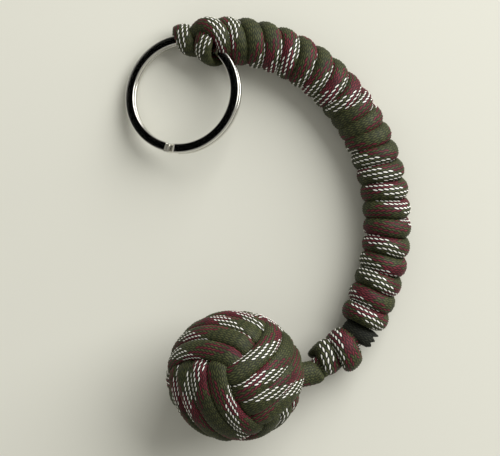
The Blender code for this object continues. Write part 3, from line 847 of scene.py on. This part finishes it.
first_points = smooth_through(FIRST_STRAND_POINTS)
first_strand = braid(
    "first_strand",
    first_points,
    rows_of_length_one((first_points - FIRST_STRAND_AXIS) * FIRST_STRAND_SPREAD),
    WRAP_HALF_WIDTH,
    WRAP_HALF_HEIGHT,
    whites=[FIRST_STRAND_WHITE],
)

# %% [markdown]
# The handle bends at four places between its five bodies, so the winding is made in five lengths,
# each of which moves as one. They part underneath, where the cut doesn't show. Each length starts
# on a whole cell and keeps its cell numbers, so that the braid runs on from one to the next.

# %% Handle turns: the five lengths
WRAP_SECTIONS = 5
FIRST_STRAND_START = -0.12  # turns: where it would begin if it were wound like the others
FIRST_STRAND_STOP = 0.52  # turns

all_turns = np.linspace(FIRST_STRAND_START, WRAP_STOP, (WRAP_TURNS + 1) * TURN_STEPS)
whole_reach = distance_along(wound(all_turns)[0])
white_reach = np.interp(WHITE_TURNS, all_turns, whole_reach)
bend_turns = [round(k * WRAP_TURNS / WRAP_SECTIONS) + UNDERNEATH for k in range(1, WRAP_SECTIONS)]
wrap_edges = [FIRST_STRAND_STOP, *bend_turns, WRAP_STOP]
wraps = []
for index, ends in enumerate(zip(wrap_edges, wrap_edges[1:]), start=1):
    first, last = (round(reach / CELL_LENGTH) for reach in np.interp(ends, all_turns, whole_reach))
    start, stop = np.interp([first * CELL_LENGTH, last * CELL_LENGTH], whole_reach, all_turns)
    centres, facings = wound(np.linspace(start, stop, round((stop - start) * TURN_STEPS)))
    wraps.append(
        braid(
            f"wound_cord_{index}",
            centres,
            facings,
            WRAP_HALF_WIDTH,
            WRAP_HALF_HEIGHT,
            whites=white_reach - first * CELL_LENGTH,
            first=first,
        )
    )
print(f"wound cord {whole_reach[-1]:.0f} mm")

# %% [markdown]
# Inside the turns the cord itself runs along the handle. A plain tube would do as long as nothing
# moves, but where the handle bends open its braid can be seen between the turns. It is cut at the
# same bending places as they are, with a little overlap, so that no gap opens.

# %% Core strand
CORE_HALF = 1.9
CORE_START = 1.5  # from the handle's end at the ring
CORE_PAST_END = 4.2
CORE_OVERLAP = 0.6
CORE_POINTS = 60
CORE_WHITE = 6.0  # mm from each length's start

core_bends = [float(wrap_reach(turns)) for turns in bend_turns]
core_edges = [CORE_START, *core_bends, HANDLE_LENGTH + CORE_PAST_END]
cores = []
for index, (start, stop) in enumerate(zip(core_edges, core_edges[1:]), start=1):
    centres, _ = handle_at(np.linspace(start - CORE_OVERLAP, stop + CORE_OVERLAP, CORE_POINTS))
    facings = np.tile(UP, (CORE_POINTS, 1))
    cores.append(
        braid(f"core_cord_{index}", centres, facings, CORE_HALF, CORE_HALF, whites=[CORE_WHITE], square=1.0)
    )

# %% [markdown]
# ## The fist
# A monkey fist is three bands of four passes round a ball. Each band goes over one neighbour and
# under the other, so a pass runs on two levels and climbs between them. It could be one curve,
# bent by hand through hundreds of points. The three bands follow one rule, so one function makes
# each of them from three axes at right angles. The passes lie side by side on the sphere, and the
# cord moves from one to the next in a short shift.

# %% Fist: its axes
FIST_CENTRE = np.array([-7.85, -35.72, 16.43])
FIST_SQUASH = np.array([1.01, 0.955, 1.0])  # it was pulled tight out of round
FIST_TURNED = (27.1, -39.9, 11.8)


def turned_axes(degrees):
    """Three axes turned about X, then Y, then Z, as the rows of an array."""
    rows = np.eye(3)
    for axis, angle in enumerate(np.radians(degrees)):
        step = np.eye(3)
        one, two = (axis + 1) % 3, (axis + 2) % 3
        step[one, one] = step[two, two] = math.cos(angle)
        step[one, two], step[two, one] = -math.sin(angle), math.sin(angle)
        rows = rows @ step.T
    return rows


FIST_AXES = turned_axes(FIST_TURNED)
print("fist axes:", FIST_AXES.round(2).tolist())

# %% [markdown]
# Going round a band, the angle says whether the cord is on the outer level or under the next band,
# and the whole turns made so far say in which of the four places it lies. Its distance from the
# ball's middle is the level's, so the outer passes sit lower than the middle ones, as on a sphere.

# %% Fist: the path of a band
FIST_PASSES = 4
FIST_PITCH = 4.35
FIST_OVER = 14.75
FIST_UNDER = 11.55
FIST_CLIMB = (24.0, 50.0)  # degrees from the middle of the stretch underneath
FIST_SHIFT = 62.0  # degrees of a turn over which it moves to the next place
FIST_ENDS = 14.0  # degrees: the cord's two ends stay under the other band
FIST_STEP = 1.5  # degrees


def fist_band(index):
    """Centres and outward directions of one band's cord."""
    over, plane, under = FIST_AXES[index], FIST_AXES[(index + 1) % 3], FIST_AXES[(index + 2) % 3]
    degrees = np.arange(FIST_ENDS, 360.0 * FIST_PASSES - FIST_ENDS, FIST_STEP)
    nearest = np.round(degrees / 360.0)
    shift = ease((degrees - 360.0 * nearest) / FIST_SHIFT + 0.5)
    offset = (nearest - 1 + shift - (FIST_PASSES - 1) / 2) * FIST_PITCH
    out = np.abs((degrees + 90.0) % 180.0 - 90.0)
    climb = ease((out - FIST_CLIMB[0]) / (FIST_CLIMB[1] - FIST_CLIMB[0]))
    radius = FIST_UNDER + (FIST_OVER - FIST_UNDER) * climb
    flat = np.sqrt(radius**2 - offset**2)
    angle = np.radians(degrees)
    spots = (flat * np.cos(angle))[:, None] * under - (flat * np.sin(angle))[:, None] * over
    spots += offset[:, None] * plane
    return FIST_CENTRE + spots * FIST_SQUASH, rows_of_length_one(spots)


print(f"a band climbs {FIST_OVER - FIST_UNDER:.1f} mm to pass over its neighbour")

# %% [markdown]
# The photograph shows at which pixels white faces out. Each of them is matched to the nearest part
# of the cord that the camera can see: one that faces up, and isn't inside the fist. The distances
# found this way are what the braid's twist needs.

# %% Fist: the bands
FIST_HALF_WIDTH = 2.32
FIST_HALF_HEIGHT = 1.68
FACES_UP = 0.15  # the least rise of a side that the camera sees well
INSIDE_FIST = 1.2  # mm below the outer level
FAR_OFF = 1000.0  # pixels
BAND_NAMES = ("fist_first_band", "fist_second_band", "fist_third_band")
BAND_WHITES = (
    [(250, 344), (261, 371), (272, 391)],
    [(222, 327), (243, 321), (190, 342), (185, 360)],
    [(194, 399), (174, 401), (243, 404)],
)


def seen_at(centres, facings, pixels):
    """The distances along a cord that the photograph shows at these pixels, in order."""
    reach = distance_along(centres)
    places = in_photo(centres)
    inside = np.linalg.norm(centres - FIST_CENTRE, axis=1) < FIST_OVER - INSIDE_FIST
    hidden = np.where(inside | (facings[:, 2] < FACES_UP), FAR_OFF, 0.0)
    return sorted(reach[np.argmin(np.linalg.norm(places - pixel, axis=1) + hidden)] for pixel in pixels)


bands = []
for index, name in enumerate(BAND_NAMES):
    centres, facings = fist_band(index)
    whites = seen_at(centres, facings, BAND_WHITES[index])
    bands.append(
        braid(name, centres, facings, FIST_HALF_WIDTH, FIST_HALF_HEIGHT, whites=whites, square=0.58)
    )

# %% [markdown]
# ## The ring and its loop
# A split ring is two coils of flat wire, with a short step where one passes into the other and a
# small gap to each cut end. It leans on the cord loop at its upper side. The cord loop needs the
# ring's place before either is made, so its axes come first: uphill, level and square to its face.

# %% Ring places
RING_CENTRE = np.array([-20.854, 33.149, 6.375])
RING_TILT = 20.0  # degrees
RING_UPHILL = -25.5  # degrees
RING_DIAMETER = 30.0
RING_WIRE_WIDTH = 2.3
RING_RADIUS = (RING_DIAMETER - RING_WIRE_WIDTH) / 2
RING_HIGH = heading(RING_UPHILL, RING_TILT)
RING_LEVEL = heading(RING_UPHILL + 90.0)
RING_NORMAL = np.cross(RING_HIGH, RING_LEVEL)


def ring_arm(degrees):
    """Unit vectors from the ring's middle to these places on it."""
    turn = np.radians(degrees)[..., None]
    return np.cos(turn) * RING_HIGH + np.sin(turn) * RING_LEVEL


print(f"ring {RING_DIAMETER:.0f} mm, tilted {RING_TILT:.0f} degrees")

# %% [markdown]
# The cord goes twice round the ring's wire before it turns into the handle. It is a short helix
# about the ring's own circle, so each turn's middle is found on the ring and its radius is added
# in the plane across the wire. The outer turn is drawn tighter than the one beside the handle.

# %% Ring loop
LOOP_AT = 100.0  # degrees round the ring
LOOP_TURNS = 2
LOOP_PITCH = 5.9
LOOP_HALF_WIDTH = 2.2
LOOP_HALF_HEIGHT = 1.05
LOOP_RADII = (2.85, 3.5)  # of the outer turn, and of the one beside the handle
LOOP_WHITES = [(181, 37), (205, 46)]  # in the photograph
TURN_TOPS = (0.25, 1.25)  # turns: the tops of the two turns of a loop or a knot
LOOP_POINTS = 160

loop_turns = np.linspace(UNDERNEATH, LOOP_TURNS + UNDERNEATH, LOOP_POINTS)
loop_advance = math.degrees(LOOP_PITCH / RING_RADIUS)
loop_arms = ring_arm(LOOP_AT + loop_advance * (LOOP_TURNS / 2 + UNDERNEATH - loop_turns))
loop_angle = 2 * np.pi * loop_turns[:, None]
loop_outward = np.cos(loop_angle) * loop_arms + np.sin(loop_angle) * RING_NORMAL
loop_radius = np.interp(loop_turns, TURN_TOPS, LOOP_RADII)[:, None]
loop_centres = RING_CENTRE + RING_RADIUS * loop_arms + loop_radius * loop_outward
loop_whites = seen_at(loop_centres, loop_outward, LOOP_WHITES)
ring_cord = braid(
    "ring_cord", loop_centres, loop_outward, LOOP_HALF_WIDTH, LOOP_HALF_HEIGHT, whites=loop_whites
)

# %% [markdown]
# ## The stopper knot
# Between the handle and the fist the cord is tied round itself in two tight turns. The knot could
# be traced through all its crossings, but these are hidden inside. What shows is a thick turn
# beside the handle and a thinner one set a little aside of it, each slanting over the top. So the
# knot is a helix of two turns about the neck, with the radius changing from one to the other.

# %% Stopper knot
KNOT_JOINT = np.array([22.971, -25.549, HANDLE_HEIGHT])
KNOT_AXIS = heading(-138.0, 10.0)
KNOT_CENTRE = KNOT_JOINT + 8.3 * KNOT_AXIS
KNOT_TURNS = 2
KNOT_PITCH = 4.3
KNOT_SKEW = 1.5  # how far the second turn sits aside of the first
KNOT_IN_LINE = 0.65  # turns: where the knot is centred on the neck
KNOT_SLANT = 3.2  # how far a turn falls back over the top, so that it lies square to the knot
KNOT_RADII = (3.55, 1.95)  # of the turn beside the handle, and of the other
KNOT_HALF_WIDTH = 2.65
KNOT_HALF_HEIGHT = 1.7
KNOT_WHITES = [(338, 337), (329, 354)]  # in the photograph
KNOT_POINTS = 160

knot_across = np.cross(KNOT_AXIS, UP) / np.linalg.norm(np.cross(KNOT_AXIS, UP))
knot_above = np.cross(knot_across, KNOT_AXIS)
knot_turns = np.linspace(UNDERNEATH, KNOT_TURNS + UNDERNEATH, KNOT_POINTS)[:, None]
knot_angle = 2 * np.pi * knot_turns
knot_outward = -np.cos(knot_angle) * knot_across + np.sin(knot_angle) * knot_above
knot_along = KNOT_PITCH * (knot_turns - UNDERNEATH - KNOT_TURNS / 2) + KNOT_SLANT * np.cos(knot_angle) / 2
knot_radius = np.interp(knot_turns, TURN_TOPS, KNOT_RADII)
knot_aside = KNOT_SKEW * (knot_turns - KNOT_IN_LINE)
knot_centres = KNOT_CENTRE + knot_along * KNOT_AXIS + knot_radius * knot_outward + knot_aside * knot_across
knot_whites = seen_at(knot_centres, knot_outward, KNOT_WHITES)
knot = braid(
    "stopper_cord", knot_centres, knot_outward, KNOT_HALF_WIDTH, KNOT_HALF_HEIGHT, whites=knot_whites
)

# %% [markdown]
# The cord runs on through the knot to the fist. It bends half way, so it is made in two stretches,
# one that moves with the knot and one with the fist. Both reach past the bending place, and each
# one's round end turns inside the other, so that no gap opens.

# %% Neck and the fist's strand
NECK_JOINT = np.array([10.971, -36.485, 10.155])
NECK_HALF_WIDTH = 2.7
STRAND_HALF_WIDTH = 2.9
NECK_HALF_HEIGHT = 2.3  # of both
NECK_WHITE = 9.0  # mm from its start
STRAND_WHITE = 14.0

neck_points = smooth_through(
    [
        KNOT_JOINT - 1.0 * KNOT_AXIS,  # in the handle's last turn
        KNOT_CENTRE,
        KNOT_CENTRE + 4.6 * KNOT_AXIS,  # where it comes out of the knot
        NECK_JOINT + (1.2, 1.6, -0.3),
    ]
)
neck_facings = np.tile(UP, (len(neck_points), 1))
neck = braid(
    "neck_strand", neck_points, neck_facings, NECK_HALF_WIDTH, NECK_HALF_HEIGHT,
    whites=[NECK_WHITE], square=0.9,
)

fist_exit = FIST_AXES[0] - FIST_AXES[1] - FIST_AXES[2]  # the corner where three bands meet
fist_exit /= np.linalg.norm(fist_exit)
strand_points = smooth_through(
    [
        NECK_JOINT + (2.0, 2.0, -0.3),
        NECK_JOINT + (0.0, 0.9, 0.0),
        FIST_CENTRE + 13.0 * fist_exit,  # between the bands, just under the outer level
    ]
)
strand_facings = np.tile(UP, (len(strand_points), 1))
lead = braid(
    "fist_strand", strand_points, strand_facings, STRAND_HALF_WIDTH, NECK_HALF_HEIGHT,
    whites=[STRAND_WHITE], square=0.9,
)

# %% [markdown]
# ## The singed tail
# The end of a nylon cord is melted with a flame, so that it doesn't fray. The melted stretch is a
# short flat piece of the same cord beside the last turn, so it is a braid like the others. Only its
# finish is different: the flame has taken the colours of the yarns.

# %% Singed tail: its cord
TAIL_POINTS = [(19.5, -24.1, 5.2), (21.4, -25.4, 6.9), (23.8, -26.7, 7.1), (26.0, -27.8, 6.2)]
TAIL_HALF_WIDTH = 2.15
TAIL_HALF_HEIGHT = 1.35
# Melted nylon is dark and stiff, with no dye left to see, and its streaks set as hard ridges.
# Its darkest colour is painted shade in the gaps between yarns.
SINGED = nylon("singed nylon", "#1b1d15", "#34362a", "#0d0e0a", bump=0.6)

tail_points = smooth_through(TAIL_POINTS)
tail_facings = np.tile(UP, (len(tail_points), 1))
tail = braid(
    "singed_tail", tail_points, tail_facings, TAIL_HALF_WIDTH, TAIL_HALF_HEIGHT,
    square=0.8, rounding=0.5,
)
tail.data.materials.clear()
tail.data.materials.append(SINGED)
tail.data.polygons.foreach_set("material_index", np.zeros(len(tail.data.polygons), np.int32))

# %% [markdown]
# Molten nylon runs together and sets in drips. They could be sculpted by hand. Here the mesh's own
# end is pulled about by arithmetic, so that it comes out the same each time: each of three drips
# across it is drawn out by its own length, the places between them are drawn in, and the cap is
# pushed back to leave a hollow.

# %% Singed tail: its melted end
DRIPS = np.array([1.0, 1.3, 2.6])  # how far each drip of melted nylon hangs out, across the end
DRIP_ROOT = 3.0  # mm before the end, where the drips begin
DRIP_FULLNESS = 0.6  # above 0.5, more of a drip's width is drawn out than in
CAP = 0.2  # mm before the end
HOLLOW = 1.6  # the cap is pushed back by this

spots = np.empty(3 * len(tail.data.vertices), np.float32)
tail.data.vertices.foreach_get("co", spots)
spots = spots.reshape(-1, 3) / MM
tail_end = np.array(TAIL_POINTS[-1])
tail_way = rows_of_length_one((tail_end - np.array(TAIL_POINTS[-2]))[None])[0]
tail_side = np.cross(UP, tail_way)
beyond = (spots - tail_end) @ tail_way
across = ((spots - tail_end) @ tail_side / TAIL_HALF_WIDTH + 1) / 2 * len(DRIPS)
length = DRIPS[np.clip(np.floor(across), 0, len(DRIPS) - 1).astype(int)]
hang = DRIP_FULLNESS - 2 * np.abs(across % 1.0 - 0.5)
drip = np.clip(1 + beyond / DRIP_ROOT, 0.0, 1.0) ** 2 * length * hang
drip[beyond > -CAP] = -HOLLOW
spots += drip[:, None] * tail_way
tail.data.vertices.foreach_set("co", (spots * MM).astype(np.float32).ravel())
tail.data.update()
print(f"drips reach {drip.max():.1f} mm past the tail's end")

# %% [markdown]
# ## The split ring
# The real ring is coiled from flat spring wire and plated with nickel. A curve with a bevel could
# make it, but its flat section may tilt where the ring steps from coil to coil. So the wire's
# section, a rectangle with rounded corners, is swept in code: always square to the ring's face,
# and lifted by one coil along the step.

# %% Ring: its wire
RING_COIL_HEIGHT = 1.25
RING_COIL_GAP = 0.15
RING_STEP_AT = 281.0  # degrees round the ring, where the step begins
RING_STEP_LENGTH = 9.0  # degrees
RING_END_GAP = 2.0  # degrees from the step to each cut end
RING_EDGE = 0.28  # rounding of the wire's corners
EDGE_STEPS = 5
RING_STEPS = 720


def wire_section():
    """The flat wire's section: a rectangle with rounded corners, as sideways and upward sizes."""
    half_width, half_height = RING_WIRE_WIDTH / 2 - RING_EDGE, RING_COIL_HEIGHT / 2 - RING_EDGE
    section = []
    for corner, (x, y) in enumerate(((1, 1), (-1, 1), (-1, -1), (1, -1))):
        for angle in np.linspace(90.0 * corner, 90.0 * corner + 90.0, EDGE_STEPS):
            turn = math.radians(angle)
            sideways, upward = RING_EDGE * math.cos(turn), RING_EDGE * math.sin(turn)
            section.append((x * half_width + sideways, y * half_height + upward))
    return np.array(section)


def wire_rows():
    """The section's points all along the two coils and the step between them."""
    section = wire_section()
    low_start = RING_STEP_AT + RING_STEP_LENGTH + RING_END_GAP - 360.0
    high_end = RING_STEP_AT - RING_END_GAP + 360.0
    angles = np.linspace(low_start, high_end, RING_STEPS)
    lift = (RING_COIL_HEIGHT + RING_COIL_GAP) / 2
    level = lift * (2 * ease((angles - RING_STEP_AT) / RING_STEP_LENGTH) - 1)
    outward = (RING_RADIUS + section[None, :, 0, None]) * ring_arm(angles)[:, None]
    return RING_CENTRE + outward + (level[:, None, None] + section[None, :, 1, None]) * RING_NORMAL


ring_rows = wire_rows()
print(f"ring wire: {ring_rows.shape[0]} sections of {ring_rows.shape[1]} points")

# %% [markdown]
# The rows of points are joined to their neighbours by quads, and the two cut ends are closed. The
# wire's flat sides stay flat and its rounded corners smooth, because edges are sharp only where
# they turn by more than a corner's step does.

# %% Ring: its mesh and plating
SHARP_FROM = 50  # degrees

# Polished nickel is a mirror with a slightly warm tone, and a touch of haze from handling.
PLATING = bpy.data.materials.new("polished nickel plate")
PLATING.use_nodes = True
plate = PLATING.node_tree.nodes["Principled BSDF"].inputs
plate["Base Color"].default_value = colour("#d9d7d0")
plate["Metallic"].default_value = 1.0
plate["Roughness"].default_value = 0.12


def closed_tube(name, rows):
    """Rows of points, each closed on itself, joined into one tube with closed ends."""
    mesh = bmesh.new()
    rings = [[mesh.verts.new(spot * MM) for spot in row] for row in rows]
    for near, far in zip(rings, rings[1:]):
        for k in range(len(near)):
            after = (k + 1) % len(near)
            mesh.faces.new((near[k], near[after], far[after], far[k]))
    mesh.faces.new(rings[0][::-1])
    mesh.faces.new(rings[-1])
    bmesh.ops.recalc_face_normals(mesh, faces=mesh.faces)
    data = bpy.data.meshes.new(name)
    mesh.to_mesh(data)
    mesh.free()
    return data


wire = closed_tube("ring_wire", ring_rows)
wire.shade_smooth()
wire.set_sharp_from_angle(angle=math.radians(SHARP_FROM))
wire.materials.append(PLATING)
ring_wire = put_in_scene("ring_wire", wire)
print(f"ring_wire: {len(wire.polygons)} faces")

# %% [markdown]
# ## What moves with what
# Each piece moves with one body of the frame. It also stands for the plain solid of the same
# stretch, which is hidden. The first strand is the start of the wound cord, whose solid the first
# wound length already stands for.

# %% Rides
for index, (wrap, core) in enumerate(zip(wraps, cores), start=1):
    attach(wrap, f"handle_{index}")
    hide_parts(f"handle_wrap_{index}")
    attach(core, f"handle_{index}")
    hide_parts(f"core_strand_{index}")
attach(first_strand, "handle_1")

SINGLE_PIECES = (
    (tail, "handle_5", "wrap_tail", "singed_cord"),
    (bands[0], "fist", "fist_first_turns", "cord_olive"),
    (bands[1], "fist", "fist_second_turns", "cord_maroon"),
    (bands[2], "fist", "fist_third_turns", "cord_moss"),
    (ring_cord, "loop", "ring_loop", "cord_olive"),
    (knot, "knot", "stopper_knot", "cord_maroon"),
    (neck, "knot", "neck_cord", "cord_olive"),
    (lead, "fist", "fist_lead", "cord_olive"),
    (ring_wire, "ring", "split_ring", "ring_plating"),
)
for piece, body, node, slot in SINGLE_PIECES:
    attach(piece, body)
    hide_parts(node)
print(len(wraps) + len(cores) + 1 + len(SINGLE_PIECES), "pieces ride")

# %% [markdown]
# ## The studio
# The keychain lies on a pale table, matt as painted board is. The lamp is close to it, so the
# brightest spot of the board, outside the picture, would be pure white from other sides. The lamp
# could be weaker, but then the cord is too dark. A painted shade darkens the board there instead. It
# reads Object coordinates, so the painted shade stays where it is. Sizes in the studio are in metres.

# %% Table
TABLE_HALF = 3.0
# The painted shade under the lamp: darkest near its bright spot, and gone from the last distance on.
UNDER_LAMP = (0.42, 0.37, 0.0)  # where the lamp is brightest on the table
SHADE_DARKEST_WITHIN = 0.2  # of there
SHADE_GONE_FROM = 0.47


def flat_sheet(name, half, material):
    """A flat square sheet round the keychain, which isn't part of it."""
    mesh = bmesh.new()
    bmesh.ops.create_grid(mesh, x_segments=1, y_segments=1, size=half)
    data = bpy.data.meshes.new(name)
    mesh.to_mesh(data)
    mesh.free()
    data.materials.append(material)
    return put_in_scene(name, data)


# Matt paint on board: pale, even and without gloss away from the lamp, so that it shows the shadow,
# with a painted shade mixed in near the spot under the lamp.
PAINT = bpy.data.materials.new("matt painted board")
PAINT.use_nodes = True
tree = PAINT.node_tree
paint = tree.nodes["Principled BSDF"].inputs
where = add(tree, "ShaderNodeTexCoord").outputs["Object"]
from_lamp = add(tree, "ShaderNodeVectorMath", {0: where, 1: UNDER_LAMP}, operation="DISTANCE")
# Painted shade: the board is mixed to a darker grey near the spot under the lamp.
painted_lamp_shade = add(
    tree,
    "ShaderNodeMapRange",
    {"Value": from_lamp.outputs["Value"], "From Min": SHADE_GONE_FROM, "From Max": SHADE_DARKEST_WITHIN},
    interpolation_type="SMOOTHSTEP",
)
tone = add(tree, "ShaderNodeMix", {0: painted_lamp_shade, 6: colour("#d6d5c9"), 7: colour("#82817a")}, data_type="RGBA")
tree.links.new(tone.outputs[2], paint["Base Color"])
paint["Roughness"].default_value = 0.9
paint["Specular IOR Level"].default_value = 0.2
table_top = flat_sheet("table_top", TABLE_HALF, PAINT)
print(f"table {2 * TABLE_HALF:.0f} m across")

# %% [markdown]
# The photograph's shadows fall to the lower left and have wide soft edges. One big square lamp low
# at the upper right gives them, and the pale world round it fills them in.

# %% Lamp and world
LAMP_PLACE = (0.54, 0.49, 0.47)
LAMP_LOOKS_AT = (0.0, 0.0, 0.01)  # the middle of the keychain
LAMP_POWER = 14.0  # watts
LAMP_SIZE = 0.95


def turn_towards(thing, way):
    """Turns a thing so that it looks this way, as a lamp looks along its own -Z."""
    thing.rotation_euler = Vector(way).to_track_quat("-Z", "Y").to_euler()


key = bpy.data.lights.new("key", "AREA")
key.energy = LAMP_POWER
key.size = LAMP_SIZE
lamp = put_in_scene("key", key)
lamp.location = LAMP_PLACE
turn_towards(lamp, np.array(LAMP_LOOKS_AT) - np.array(LAMP_PLACE))

world = bpy.data.worlds.new("studio")
world.use_nodes = True
world.node_tree.nodes["Background"].inputs["Color"].default_value = colour("#f4f3ee")
world.node_tree.nodes["Background"].inputs["Strength"].default_value = 0.42
bpy.context.scene.world = world
print(f"lamp {LAMP_SIZE} m wide, {LAMP_POWER:.0f} W")

# %% [markdown]
# A polished ring shows what stands round it, and in an empty studio it looks like pale plastic. In
# the photograph its flat faces mirror something dark. A black card hangs where they look, as a
# photographer would hold one, and only reflections see it.

# %% Dark card
CARD_HALF = 0.09
CARD_DISTANCE = 0.3
CARD_WAY = Vector((-0.58, 0.276, 0.766))  # from the ring, towards what its face mirrors to the camera

# Black card: no colour and no gloss, so that it only takes light away from the plating.
BLACK = bpy.data.materials.new("black card")
BLACK.use_nodes = True
black = BLACK.node_tree.nodes["Principled BSDF"].inputs
black["Base Color"].default_value = colour("#000000")
black["Specular IOR Level"].default_value = 0.0
dark_card = flat_sheet("dark_card", CARD_HALF, BLACK)
dark_card.location = Vector(RING_CENTRE * MM) + CARD_DISTANCE * CARD_WAY
turn_towards(dark_card, -CARD_WAY)
for rays in ("camera", "diffuse", "shadow", "transmission"):
    setattr(dark_card, f"visible_{rays}", False)
print(f"card {2 * CARD_HALF:.2f} m wide, {CARD_DISTANCE} m from the ring")

# %% [markdown]
# ## Finish
# The ball inside the fist stays as the frame has it. It is polished steel, as bright as the ring's
# plate, and hidden, so it shares that finish. The Standard view shows colours as they are written.

# %% Finish
core_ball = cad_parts["core_ball"]
core_ball.data.materials.clear()
core_ball.data.materials.append(PLATING)
bpy.context.scene.view_settings.view_transform = "Standard"
